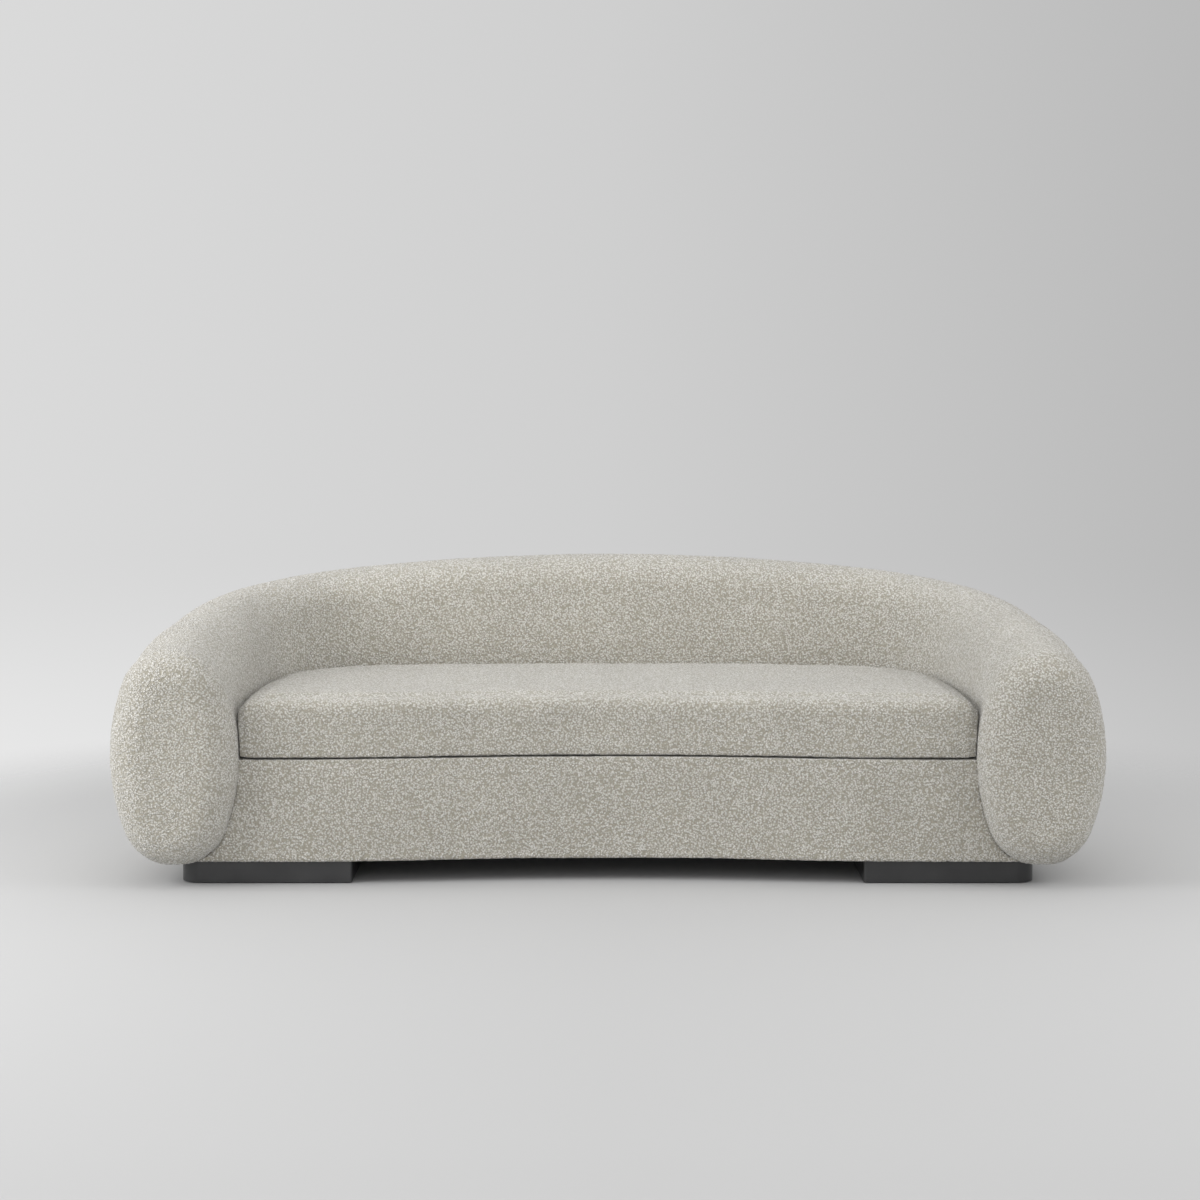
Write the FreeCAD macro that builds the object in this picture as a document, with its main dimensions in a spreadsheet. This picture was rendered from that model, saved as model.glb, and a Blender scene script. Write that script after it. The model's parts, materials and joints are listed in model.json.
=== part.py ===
import FreeCAD, Part
import math
import os

import Sketcher
from FreeCAD import Placement, Rotation, Vector

# Curved sofa: one fat oval tube runs round as arms and back, with a loose bench
# cushion between, an apron with an ogee front below, and two dark plinth blocks.
# Frame: millimetres, +Z up, +X to the sitter's left as seen from the front,
# +Y to the back, origin on the floor under the middle of the bounding box.

doc = FreeCAD.newDocument("curved_sofa")
sheet = doc.addObject("Spreadsheet::Sheet", "Sizes")

DRIVING_SIZES = [
    ("overall_width", 2400, "outside of arm to outside of arm"),
    ("overall_depth", 1050, "arm fronts to outside of back"),
    ("overall_height", 740, "floor to crest of back"),
    ("arm_height", 578, "floor to crest of arm at its front"),
    ("arm_thickness", 310, "width of the oval at the arm fronts"),
    ("back_thickness", 230, "width of the oval at the middle of the back"),
    ("thinning_run", 760, "path length over which the oval thins from arm to back"),
    ("oval_end_share", 0.84, "end radius of an oval over its half width"),
    ("oval_low_line", 48, "height of the lowest point of the uncut oval"),
    ("underside", 55, "height of the flat underside"),
    ("arm_front_round", 80, "radius round the edge of the arm fronts"),
    ("arm_turn", 12.5, "degrees that the arm stretch of the path turns"),
    ("back_turn", 82.8, "heading in degrees where the back stretch starts"),
    ("shoulder_radius", 450, "plan radius of the path at the shoulders"),
    ("ogee_depth", 55, "how far the apron's middle lies behind its ends"),
    ("ogee_end_flat", 60, "flat stretch of the apron at each arm"),
    ("nest_gap", 0.8, "air between nested soft skins"),
    ("cover_skin", 3, "covering fabric with its backing"),
    ("foam_side", 41.2, "foam on the tube's sides"),
    ("foam_top", 46.2, "foam on the tube's crest"),
    ("foam_low", 4.2, "foam under the tube"),
    ("foam_end", 41.2, "foam on the arm fronts"),
    ("liner_board", 3, "bent hardboard between foam and formers"),
    ("former_board", 18, "plywood of the oval formers"),
    ("rail_board", 18, "thickness of the laminated rails in the tube"),
    ("side_lath_height", 60, "height of the rails along the tube's sides"),
    ("crest_lath_width", 44, "width of the rail under the crest"),
    ("lath_clearance", 0.4, "play of a rail in its notch"),
    ("base_board", 18, "plywood of the base boards"),
    ("base_outer", 24, "path to outer edge of the base board"),
    ("base_tongue", 15, "reach of the base board into the arm fronts"),
    ("base_ledge", 13, "base board inside the seat rail"),
    ("bottom_cloth", 1, "cloth under the base"),
    ("seat_deck", 305, "height of the deck that the cushion lies on"),
    ("deck_cloth", 1.2, "cloth over the deck pad"),
    ("deck_pad", 15, "felt pad over the webbing"),
    ("strap_thickness", 1.5, "webbing strap"),
    ("strap_width", 60, "webbing strap"),
    ("strap_count", 9, "straps from front to back"),
    ("strap_pitch", 140, "straps from front to back, centre to centre"),
    ("cross_strap_count", 4, "straps from side to side"),
    ("cross_strap_pitch", 110, "straps from side to side, centre to centre"),
    ("seat_rail_board", 20, "bent seat rail"),
    ("seat_rail_gap", 17, "widest line of the arm to the seat rail"),
    ("front_rail_board", 22, "straight rail across the front"),
    ("front_rail_back", 142, "arm start line to the back face of the front rail"),
    ("front_ply", 18, "shape plates behind the apron"),
    ("front_hardboard", 3, "bent hardboard behind the apron pad"),
    ("apron_pad", 12, "foam on the apron"),
    ("apron_round", 18, "radius along the apron's top edge"),
    ("apron_lip", 100, "arm start line to the back edge of the apron cover"),
    ("stretcher_width", 30, "beams under the seat"),
    ("stretcher_height", 60, "beams under the seat"),
    ("stretcher_pitch", 400, "beams under the seat, centre to centre"),
    ("glue_block", 70, "leg of the triangular corner blocks"),
    ("cushion_play", 3, "air between cushion and tube"),
    ("cushion_seat_gap", 0.3, "air between cushion and deck"),
    ("cushion_top", 453, "height of the cushion's top"),
    ("cushion_top_round", 32, "radius along the top edge"),
    ("cushion_low_round", 14, "radius along the bottom edge"),
    ("cushion_corner", 40, "plan radius of the front corners"),
    ("cushion_wrap", 16, "wadding round the core"),
    ("zip_length", 1100, "straight zip under the cushion"),
    ("zip_place", 60, "distance of the zip behind the middle"),
    ("zip_groove_width", 34, "groove that holds the zip"),
    ("zip_groove_depth", 10, "groove that holds the zip"),
    ("zip_end_room", 10, "groove beyond each end of the zip"),
    ("zip_tape_width", 28, "woven tape"),
    ("zip_tape_thickness", 1, "woven tape"),
    ("zip_chain_width", 6, "row of teeth"),
    ("zip_chain_thickness", 2.2, "row of teeth"),
    ("zip_slider_length", 12, "slider body"),
    ("zip_slider_width", 10, "slider body"),
    ("zip_slider_height", 5, "slider body"),
    ("zip_clearance", 0.3, "slider to chain"),
    ("slot_overrun", 1, "reach of the slider's slot past its ends"),
    ("plinth_width", 416, "side to side of a plinth"),
    ("plinth_side_inset", 8, "arm's middle line to the plinth's outer side"),
    ("plinth_front_inset", 20, "arm start line to the plinth's front"),
    ("plinth_back_inset", 120, "back's middle line to the plinth's rear"),
    ("plinth_front_round", 45, "outer front corner"),
    ("plinth_rear_round", 300, "outer rear corner"),
    ("plinth_inner_round", 6, "inner corners"),
    ("glide_thickness", 2, "felt glide"),
    ("glide_radius", 20, "felt glide"),
    ("bolt_radius", 4, "plinth bolt shank"),
    ("bolt_head_radius", 8, "plinth bolt head"),
    ("bolt_head_height", 6, "plinth bolt head"),
    ("bolt_sink", 33, "depth of the counterbore in the plinth"),
    ("bolt_head_room", 2, "counterbore round the bolt head"),
    ("bolt_end_gap", 1, "bolt's end below the top of the base board"),
    ("bolt_play", 0.4, "radial play of the bolt in wood"),
    ("thread_play", 0.05, "radial play of the bolt in its tee nut"),
    ("tee_flange_radius", 11, "tee nut flange"),
    ("tee_flange", 1.5, "tee nut flange thickness"),
    ("tee_barrel_radius", 5, "tee nut barrel"),
    ("tee_barrel", 12, "tee nut barrel length"),
    ("screw_radius", 2.25, "frame screw shank"),
    ("screw_head_radius", 4.5, "frame screw head"),
    ("screw_head_height", 4, "frame screw head"),
    ("screw_length", 56, "frame screw"),
    ("screw_spread", 14, "frame screws to each side of the path"),
    ("screw_play", 0.15, "radial play of a screw in its hole"),
]

for row, (alias, value, note) in enumerate(DRIVING_SIZES, start=1):
    sheet.set(f"A{row}", alias)
    sheet.set(f"B{row}", str(value))
    sheet.set(f"C{row}", note)
    sheet.setAlias(f"B{row}", alias)
doc.recompute()


def size(name):
    """Value of one driving size."""
    return float(sheet.get(name))


# Plan line of the tube: three tangent arcs a side, mirrored at the middle.

FRONT_Y = -size("overall_depth") / 2
START_Y = FRONT_Y + size("arm_front_round")
START_X = (size("overall_width") - size("arm_thickness")) / 2
BACK_Y = (size("overall_depth") - size("back_thickness")) / 2
SEAT_RAIL_OUTER = size("arm_thickness") / 2 + size("seat_rail_gap")
SEAT_RAIL_INNER = SEAT_RAIL_OUTER + size("seat_rail_board")
BASE_INNER = SEAT_RAIL_INNER + size("base_ledge")
ARM_TURN = math.radians(size("arm_turn"))
BACK_TURN = math.radians(size("back_turn"))
SHOULDER_RADIUS = size("shoulder_radius")


def solve_radii():
    """Radii of the arm and back arcs that meet the shoulder arc and the middle."""
    run_x = START_X - SHOULDER_RADIUS * (math.cos(ARM_TURN) - math.cos(BACK_TURN))
    run_y = BACK_Y - START_Y - SHOULDER_RADIUS * (math.sin(BACK_TURN) - math.sin(ARM_TURN))
    arm_x = 1 - math.cos(ARM_TURN)
    arm_y = math.sin(ARM_TURN)
    back_x = math.cos(BACK_TURN)
    back_y = 1 - math.sin(BACK_TURN)
    determinant = arm_x * back_y - back_x * arm_y
    arm_radius = (run_x * back_y - back_x * run_y) / determinant
    back_radius = (arm_x * run_y - arm_y * run_x) / determinant
    return arm_radius, back_radius


ARM_RADIUS, BACK_RADIUS = solve_radii()
ARM_LENGTH = ARM_RADIUS * ARM_TURN
SHOULDER_LENGTH = SHOULDER_RADIUS * (BACK_TURN - ARM_TURN)
HALF_PATH = ARM_LENGTH + SHOULDER_LENGTH + BACK_RADIUS * (math.pi / 2 - BACK_TURN)
FULL_PATH = 2 * HALF_PATH


def turned(start, radius, heading, new_heading):
    """Point reached from start by turning along an arc, with its heading."""
    step_x = -radius * (math.cos(heading) - math.cos(new_heading))
    step_y = radius * (math.sin(new_heading) - math.sin(heading))
    return start[0] + step_x, start[1] + step_y


ARM_END = turned((START_X, START_Y), ARM_RADIUS, 0, ARM_TURN)
SHOULDER_END = turned(ARM_END, SHOULDER_RADIUS, ARM_TURN, BACK_TURN)


def path_at(run):
    """Plan x, y and heading of the path, run mm after the right arm's start."""
    if run > HALF_PATH:
        x, y, heading = path_at(FULL_PATH - run)
        return -x, y, math.pi - heading
    if run <= 0:
        return START_X, START_Y + run, 0.0
    if run <= ARM_LENGTH:
        heading = run / ARM_RADIUS
        x, y = turned((START_X, START_Y), ARM_RADIUS, 0, heading)
        return x, y, heading
    if run <= ARM_LENGTH + SHOULDER_LENGTH:
        heading = ARM_TURN + (run - ARM_LENGTH) / SHOULDER_RADIUS
        x, y = turned(ARM_END, SHOULDER_RADIUS, ARM_TURN, heading)
        return x, y, heading
    heading = BACK_TURN + (run - ARM_LENGTH - SHOULDER_LENGTH) / BACK_RADIUS
    x, y = turned(SHOULDER_END, BACK_RADIUS, BACK_TURN, heading)
    return x, y, heading


def beside_path(run, offset, height):
    """Point beside the path: a positive offset lies outside the sofa's curve."""
    x, y, heading = path_at(run)
    return Vector(x + offset * math.cos(heading), y + offset * math.sin(heading), height)


def run_where(test, low, high):
    """Path length between low and high where test turns from true to false."""
    halvings = 50
    for _ in range(halvings):
        middle = (low + high) / 2
        if test(middle):
            low = middle
        else:
            high = middle
    return low


# Oval section of the tube.


def from_arm_front(run):
    """Path length to the nearer arm start, never below zero."""
    return max(0.0, min(run, FULL_PATH - run))


def half_width(run):
    """Half width of the oval: it thins from the arms to the back."""
    arm = size("arm_thickness") / 2
    back = size("back_thickness") / 2
    share = min(from_arm_front(run) / size("thinning_run"), 1)
    return arm + (back - arm) * (1 - math.cos(math.pi * share)) / 2


def crest(run):
    """Height of the tube's crest: it climbs from the arm fronts to the middle."""
    share = from_arm_front(run) / HALF_PATH
    rise = size("overall_height") - size("arm_height")
    return size("arm_height") + rise * math.sin(math.pi / 2 * share)


def middle_height(run):
    """Height of the oval's widest line."""
    return (crest(run) + size("oval_low_line")) / 2


class Inset:
    """How far a skin lies inside the tube's outer face on each side."""

    def __init__(self, side, top, low, end):
        self.side = side
        self.top = top
        self.low = low
        self.end = end

    def deeper(self, step):
        """The same inset, step mm further in all round."""
        return Inset(self.side + step, self.top + step, self.low + step, self.end + step)


def side_radius(half, tall, end_radius):
    """Radius of an oval's side arcs."""
    reach = (tall - end_radius) ** 2 + half**2 - end_radius**2
    return reach / (2 * (half - end_radius))


def oval_wire(run, inset):
    """Closed oval of four tangent arcs, square to the path."""
    half = half_width(run) - inset.side
    high = crest(run) - inset.top
    low = size("oval_low_line") + inset.low
    middle = (high + low) / 2
    tall = (high - low) / 2
    end_radius = size("oval_end_share") * half
    radius = side_radius(half, tall, end_radius)
    join = math.atan2(tall - end_radius, radius - half)
    join_out = end_radius * math.cos(join)
    join_up = tall - end_radius + end_radius * math.sin(join)
    outer_low = beside_path(run, join_out, middle - join_up)
    outer_high = beside_path(run, join_out, middle + join_up)
    inner_high = beside_path(run, -join_out, middle + join_up)
    inner_low = beside_path(run, -join_out, middle - join_up)
    arcs = [
        Part.Arc(outer_low, beside_path(run, half, middle), outer_high),
        Part.Arc(outer_high, beside_path(run, 0, high), inner_high),
        Part.Arc(inner_high, beside_path(run, -half, middle), inner_low),
        Part.Arc(inner_low, beside_path(run, 0, low), outer_low),
    ]
    return Part.Wire([arc.toShape() for arc in arcs])


SECTIONS_A_SIDE = 12


def stations(overrun):
    """Path lengths of the loft's sections, from arm front to arm front."""
    step = HALF_PATH / SECTIONS_A_SIDE
    inner = [step * number for number in range(2 * SECTIONS_A_SIDE + 1)]
    return [-overrun, *inner, FULL_PATH + overrun]


def flat_end_edges(solid):
    """Edges of the two flat faces that close a loft at the arm fronts."""
    edges = []
    for face in solid.Faces:
        if face.BoundBox.YLength < 0.001:
            edges.extend(face.Edges)
    return edges


def tube(inset):
    """Closed tube with rounded arm fronts, inset from the outer face."""
    overrun = size("arm_front_round") - inset.end
    solid = Part.makeLoft([oval_wire(run, inset) for run in stations(overrun)], True, False)
    return solid.makeFillet(overrun, flat_end_edges(solid))


def slab(low, high):
    """Everything between two heights, wide enough for the whole sofa."""
    reach = 2 * size("overall_width")
    return Part.makeBox(reach, reach, high - low, Vector(-reach / 2, -reach / 2, low))


def in_front_of(y, low, high):
    """Everything in front of a plane, between two heights."""
    block = slab(low, high)
    block.translate(Vector(0, y - size("overall_width"), 0))
    return block


COVER_INSIDE = Inset(0, 0, 0, 0).deeper(size("cover_skin"))
FOAM_OUTSIDE = COVER_INSIDE.deeper(size("nest_gap"))
FOAM_INSIDE = Inset(
    FOAM_OUTSIDE.side + size("foam_side"),
    FOAM_OUTSIDE.top + size("foam_top"),
    FOAM_OUTSIDE.low + size("foam_low"),
    FOAM_OUTSIDE.end + size("foam_end"),
)
LINER_OUTSIDE = FOAM_INSIDE.deeper(size("nest_gap"))
LINER_INSIDE = LINER_OUTSIDE.deeper(size("liner_board"))
FORMER_OUTSIDE = LINER_INSIDE.deeper(size("nest_gap"))

# Heights of the layers.

UNDERSIDE = size("underside")
BASE_LOW = UNDERSIDE + size("bottom_cloth")
BASE_TOP = BASE_LOW + size("base_board")
DECK_TOP = size("seat_deck")
PAD_TOP = DECK_TOP - size("deck_cloth")
CROSS_STRAP_TOP = PAD_TOP - size("deck_pad")
SIDE_RAIL_TOP = CROSS_STRAP_TOP - size("strap_thickness")
FRONT_RAIL_TOP = SIDE_RAIL_TOP - size("strap_thickness")
APRON_PAD_TOP = DECK_TOP - size("cover_skin")
OVERCUT = 5.0
TUBE_CLEAR = tube(Inset(0, 0, 0, 0).deeper(-size("nest_gap")))

node_names = []


def add_node(name, shape):
    """Put a finished shape in the document under its own label."""
    feature = doc.addObject("Part::Feature", name)
    feature.Label = name
    feature.Shape = shape
    node_names.append(name)
    return feature


def keep_node(feature, name):
    """Name a parametric object as a sub-part."""
    feature.Label = name
    node_names.append(name)
    return feature


def bind(feature, **expressions):
    """Bind properties of an object to cells of the sheet."""
    for property_name, expression in expressions.items():
        feature.setExpression(property_name, expression)


# Plan outlines from lines and arcs.


def offset_edges(offset, start, end, height):
    """Arcs that follow the path at an offset, which may change along the path."""
    breaks = [0.0, ARM_LENGTH, ARM_LENGTH + SHOULDER_LENGTH, HALF_PATH]
    breaks += [FULL_PATH - mark for mark in reversed(breaks[:-1])]
    marks = [start] + [mark for mark in breaks if start < mark < end] + [end]
    edges = []
    for first, last in zip(marks, marks[1:]):
        middle = (first + last) / 2
        quarters = [first, (first + middle) / 2, middle, (middle + last) / 2, last]
        spots = [beside_path(run, offset(run), height) for run in quarters]
        if last <= 0 or first >= FULL_PATH:
            edges.append(Part.LineSegment(spots[0], spots[4]).toShape())
        else:
            edges.append(Part.Arc(spots[0], spots[1], spots[2]).toShape())
            edges.append(Part.Arc(spots[2], spots[3], spots[4]).toShape())
    return edges


def band(inner, outer, start, end, low, high):
    """Flat strip between two constant offsets from the path, with a height."""
    outside = offset_edges(lambda run: outer, start, end, low)
    inside = offset_edges(lambda run: inner, start, end, low)
    first = Part.LineSegment(beside_path(start, inner, low), beside_path(start, outer, low))
    last = Part.LineSegment(beside_path(end, inner, low), beside_path(end, outer, low))
    edges = outside + inside + [first.toShape(), last.toShape()]
    wire = Part.Wire(Part.__sortEdges__(edges))
    return Part.Face(wire).extrude(Vector(0, 0, high - low))


OGEE_HALF_WIDTH = START_X - size("arm_thickness") / 2 - size("ogee_end_flat")
OGEE_HALF_RUN = OGEE_HALF_WIDTH / 2
OGEE_HALF_RISE = size("ogee_depth") / 2
OGEE_RADIUS = (OGEE_HALF_RUN**2 + OGEE_HALF_RISE**2) / (2 * OGEE_HALF_RISE)


def ogee_edges(inset, half_length, height):
    """Front line of apron and cushion, left to right, inset towards the back."""
    turn = math.asin(OGEE_HALF_RUN / OGEE_RADIUS)
    flat_y = START_Y + inset
    bulge = OGEE_RADIUS - inset
    hollow = OGEE_RADIUS + inset
    bulge_centre_y = START_Y + OGEE_RADIUS
    hollow_centre_y = START_Y + size("ogee_depth") - OGEE_RADIUS

    def on_bulge(side, angle):
        x = side * (OGEE_HALF_WIDTH - bulge * math.sin(angle))
        return Vector(x, bulge_centre_y - bulge * math.cos(angle), height)

    middle = Vector(0, hollow_centre_y + hollow, height)
    left_end = Vector(-half_length, flat_y, height)
    right_end = Vector(half_length, flat_y, height)
    return [
        Part.LineSegment(left_end, on_bulge(-1, 0)).toShape(),
        Part.Arc(on_bulge(-1, 0), on_bulge(-1, turn / 2), on_bulge(-1, turn)).toShape(),
        Part.Arc(on_bulge(-1, turn), middle, on_bulge(1, turn)).toShape(),
        Part.Arc(on_bulge(1, turn), on_bulge(1, turn / 2), on_bulge(1, 0)).toShape(),
        Part.LineSegment(on_bulge(1, 0), right_end).toShape(),
    ]


def front_block(inset, half_length, back, low, high):
    """Block with the ogee front and a straight back."""
    front = ogee_edges(inset, half_length, low)
    right = Part.LineSegment(
        Vector(half_length, START_Y + inset, low), Vector(half_length, back, low)
    )
    rear = Part.LineSegment(Vector(half_length, back, low), Vector(-half_length, back, low))
    left = Part.LineSegment(
        Vector(-half_length, back, low), Vector(-half_length, START_Y + inset, low)
    )
    wire = Part.Wire(front + [right.toShape(), rear.toShape(), left.toShape()])
    return Part.Face(wire).extrude(Vector(0, 0, high - low))


def rounded_front_block(inset, back, low, high, radius):
    """Front block with a round along its top front edge."""
    solid = front_block(inset, START_X, back, low, high)
    edges = []
    for edge in solid.Edges:
        box = edge.BoundBox
        on_top = box.ZMin > high - 0.01
        in_front = box.YMax < back - 1 and box.XLength > 1
        if on_top and in_front:
            edges.append(edge)
    return solid.makeFillet(radius, edges)


# Base boards in two halves, on which the formers and the seat rail stand.

FRONT_STACK = (
    size("cover_skin") + size("apron_pad") + size("front_hardboard") + 2 * size("nest_gap")
)
PLATE_FRONT = FRONT_STACK + size("nest_gap")


def base_outline(clear, low, high):
    """Right half of the base board's outline, grown by a clearance."""
    outer = size("base_outer") + clear
    inner = BASE_INNER + clear
    front = PLATE_FRONT - clear
    main = band(-inner, outer, 0, HALF_PATH, low, high)
    tongue = band(-outer, outer, -size("base_tongue") - clear, front + 1, low, high)
    ahead = in_front_of(START_Y + front, low - OVERCUT, high + OVERCUT)
    return main.cut(ahead).fuse(tongue).removeSplitter()


BASE_RIGHT = base_outline(0, BASE_LOW, BASE_TOP)
SLOT_RIGHT = base_outline(size("nest_gap"), UNDERSIDE - OVERCUT, BASE_TOP + size("lath_clearance"))


def mirrored(shape):
    """Mirror image of a shape in the sofa's middle plane."""
    return shape.mirror(Vector(0, 0, 0), Vector(1, 0, 0))


BASE_SLOT = SLOT_RIGHT.fuse(mirrored(SLOT_RIGHT)).removeSplitter()


# Bolts, tee nuts and screws: places and the holes that they need.

BOLT_FRONT_EDGE = 65.0
BOLT_SIDE_EDGE = 70.0
BOLT_REAR_EDGE = 55.0
BOLT_SHOULDER_SHARE = 0.72
PLINTH_LOW = size("glide_thickness")
PLINTH_FRONT = START_Y + size("plinth_front_inset")
PLINTH_OUTER = START_X - size("plinth_side_inset")
PLINTH_INNER = PLINTH_OUTER - size("plinth_width")
PLINTH_LENGTH = BACK_Y - size("plinth_back_inset") - PLINTH_FRONT


def bolt_places():
    """Plan places of the four bolts of the right plinth."""
    outer_rear = beside_path(ARM_LENGTH, -BOLT_SIDE_EDGE, 0)
    shoulder_run = ARM_LENGTH + BOLT_SHOULDER_SHARE * SHOULDER_LENGTH
    inner_rear = beside_path(shoulder_run, BOLT_REAR_EDGE - BASE_INNER, 0)
    return [
        (PLINTH_INNER + BOLT_SIDE_EDGE, PLINTH_FRONT + BOLT_FRONT_EDGE),
        (PLINTH_OUTER - BOLT_SIDE_EDGE, PLINTH_FRONT + BOLT_FRONT_EDGE),
        (outer_rear.x, outer_rear.y),
        (inner_rear.x, inner_rear.y),
    ]


BOLT_PLACES = bolt_places()
BOLT_HEAD_TOP = size("glide_thickness") + size("bolt_sink")


def upright(radius, low, high, place):
    """Upright cylinder at a plan place."""
    return Part.makeCylinder(radius, high - low, Vector(place[0], place[1], low))


def both_sides(places):
    """Plan places and their mirror images."""
    return [(side * x, y) for side in (1, -1) for x, y in places]


def tee_holes():
    """Holes for the tee nuts, as one compound."""
    play = size("bolt_play")
    holes = []
    for place in both_sides(BOLT_PLACES):
        barrel = size("tee_barrel_radius") + play
        flange = size("tee_flange_radius") + play
        recess = BASE_TOP - size("tee_flange") - play
        holes.append(upright(barrel, UNDERSIDE - OVERCUT, BASE_TOP, place))
        holes.append(upright(flange, recess, BASE_TOP + OVERCUT, place))
    return Part.makeCompound(holes)


FORMER_STEPS = 6
FRONT_FORMER_RUN = -size("former_board") / 2
FORMER_PITCH = (HALF_PATH - FRONT_FORMER_RUN) / FORMER_STEPS


def former_run(number):
    """Path length of a former, number 0 at the right arm's front."""
    if number <= FORMER_STEPS:
        return FRONT_FORMER_RUN + FORMER_PITCH * number
    return FULL_PATH - former_run(2 * FORMER_STEPS - number)


def screw_shape(place, play):
    """Countersunk screw driven up through the base board."""
    head_low = BASE_LOW + size("nest_gap") / 2
    head = Part.makeCone(
        size("screw_head_radius") + play,
        size("screw_radius") + play,
        size("screw_head_height"),
        Vector(place.x, place.y, head_low),
    )
    shank_low = head_low + size("screw_head_height")
    shank_high = head_low + size("screw_length") + play
    return head.fuse(upright(size("screw_radius") + play, shank_low, shank_high, place))


def screw_places():
    """Two screws for each former."""
    places = []
    for number in range(2 * FORMER_STEPS + 1):
        for side in (-1, 1):
            places.append(beside_path(former_run(number), side * size("screw_spread"), 0))
    return places


def screw_holes():
    """Holes for the frame screws, open at the board's underside."""
    holes = []
    for place in screw_places():
        holes.append(screw_shape(place, size("screw_play")))
        mouth = size("screw_head_radius") + size("screw_play")
        holes.append(upright(mouth, BASE_LOW - OVERCUT, BASE_LOW + size("nest_gap") / 2, place))
    return Part.makeCompound(holes)


TEE_HOLES = tee_holes()
SCREW_HOLES = screw_holes()
add_node("base_board_right", BASE_RIGHT.cut(TEE_HOLES).cut(SCREW_HOLES))
add_node("base_board_left", mirrored(BASE_RIGHT).cut(TEE_HOLES).cut(SCREW_HOLES))
add_node("frame_screws", Part.makeCompound([screw_shape(place, 0) for place in screw_places()]))

SPLICE_HALF = 150.0
SPLICE_EDGE = 25.0
base_splice = band(
    -SEAT_RAIL_OUTER + OVERCUT,
    -size("back_thickness") / 2 + SPLICE_EDGE,
    HALF_PATH - SPLICE_HALF,
    HALF_PATH + SPLICE_HALF,
    BASE_TOP,
    BASE_TOP + size("base_board"),
)
add_node("base_splice", base_splice)

# Rails that run through the formers of the tube.

LATH_EDGE = 2.5
LATH_REACH = 8.0
CREST_LATH_SINK = 14.0
CREST_NOTCH_RISE = 60.0
SIDE_NOTCH_REACH = 10.0


def lath(across, low, high):
    """Loft of rectangles along the path; the three arguments are functions of run."""
    wires = []
    for run in stations(LATH_REACH):
        near, far = across(run)
        corners = [
            beside_path(run, near, low(run)),
            beside_path(run, far, low(run)),
            beside_path(run, far, high(run)),
            beside_path(run, near, high(run)),
        ]
        wires.append(Part.makePolygon(corners + corners[:1]))
    return Part.makeLoft(wires, True, False)


def crest_lath(play):
    """Rail under the crest, grown by a play for its notches."""
    half = size("crest_lath_width") / 2 + play
    drop = FORMER_OUTSIDE.top + CREST_LATH_SINK
    return lath(
        lambda run: (-half, half),
        lambda run: crest(run) - drop - size("rail_board") - play,
        lambda run: crest(run) - drop + play + (CREST_NOTCH_RISE if play else 0.0),
    )


def side_lath(side, play):
    """Rail along one side of the tube; side is 1 outside and -1 on the seat side."""
    tall = size("side_lath_height") / 2 + play
    opening = SIDE_NOTCH_REACH if play else 0.0

    def across(run):
        face = half_width(run) - FORMER_OUTSIDE.side - LATH_EDGE
        return side * (face - size("rail_board") - play), side * (face + opening)

    return lath(
        across,
        lambda run: middle_height(run) - tall,
        lambda run: middle_height(run) + tall,
    )


add_node("crest_rail", crest_lath(0))
add_node("outer_back_rail", side_lath(1, 0))
add_node("inner_back_rail", side_lath(-1, 0))

PLAY = size("lath_clearance")
NOTCHES = Part.makeCompound([crest_lath(PLAY), side_lath(1, PLAY), side_lath(-1, PLAY)])

# Oval plywood formers, square to the path.

FORMER_CORE = tube(FORMER_OUTSIDE).cut(slab(UNDERSIDE - OVERCUT, BASE_TOP))
LIGHTENING_RADIUS = 26.0
LIGHTENING_HEIGHT = 200.0


def former_slab(run):
    """Flat slab of a former's thickness, square to the path."""
    x, y, heading = path_at(run)
    wide = 2 * size("arm_thickness")
    thick = size("former_board")
    box = Part.makeBox(wide, thick, size("overall_height"), Vector(-wide / 2, -thick / 2, 0))
    hole = Part.makeCylinder(
        LIGHTENING_RADIUS, 2 * thick, Vector(0, -thick, LIGHTENING_HEIGHT), Vector(0, 1, 0)
    )
    board = box.cut(hole)
    board.Placement = Placement(Vector(x, y, 0), Rotation(Vector(0, 0, 1), math.degrees(heading)))
    return board


def former_name(number):
    """Node name of a former, numbered from each arm front to the middle."""
    if number == FORMER_STEPS:
        return "former_middle"
    if number < FORMER_STEPS:
        return f"former_right_{number + 1}"
    return f"former_left_{2 * FORMER_STEPS - number + 1}"


for former_number in range(2 * FORMER_STEPS + 1):
    board_slab = former_slab(former_run(former_number))
    former = FORMER_CORE.common(board_slab).cut(NOTCHES).cut(SCREW_HOLES)
    add_node(former_name(former_number), former)

# Liner, foam and cover of the tube.

ARM_SPLIT = ARM_LENGTH


def arm_zone(side):
    """Everything on one side in front of the joint between arm and back pieces."""
    x, y, heading = path_at(ARM_SPLIT)
    reach = size("overall_width")
    box = Part.makeBox(reach, reach, reach, Vector(-reach / 2, -reach, -OVERCUT))
    box.Placement = Placement(Vector(x, y, 0), Rotation(Vector(0, 0, 1), math.degrees(heading)))
    own_side = Part.makeBox(reach, 2 * reach, reach, Vector(0, -reach, -OVERCUT))
    zone = box.common(own_side)
    return zone if side > 0 else mirrored(zone)


ARM_ZONES = {"right": arm_zone(1), "left": arm_zone(-1)}


def add_split(name, shell):
    """Two arm pieces and one back piece of a shell, butted together."""
    for side, zone in ARM_ZONES.items():
        add_node(f"arm_{name}_{side}", shell.common(zone))
    add_node(f"back_{name}", shell.cut(ARM_ZONES["right"]).cut(ARM_ZONES["left"]))


liner_shell = tube(LINER_OUTSIDE).cut(tube(LINER_INSIDE))
add_split("liner", liner_shell.cut(slab(UNDERSIDE - OVERCUT, BASE_TOP)))

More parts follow.
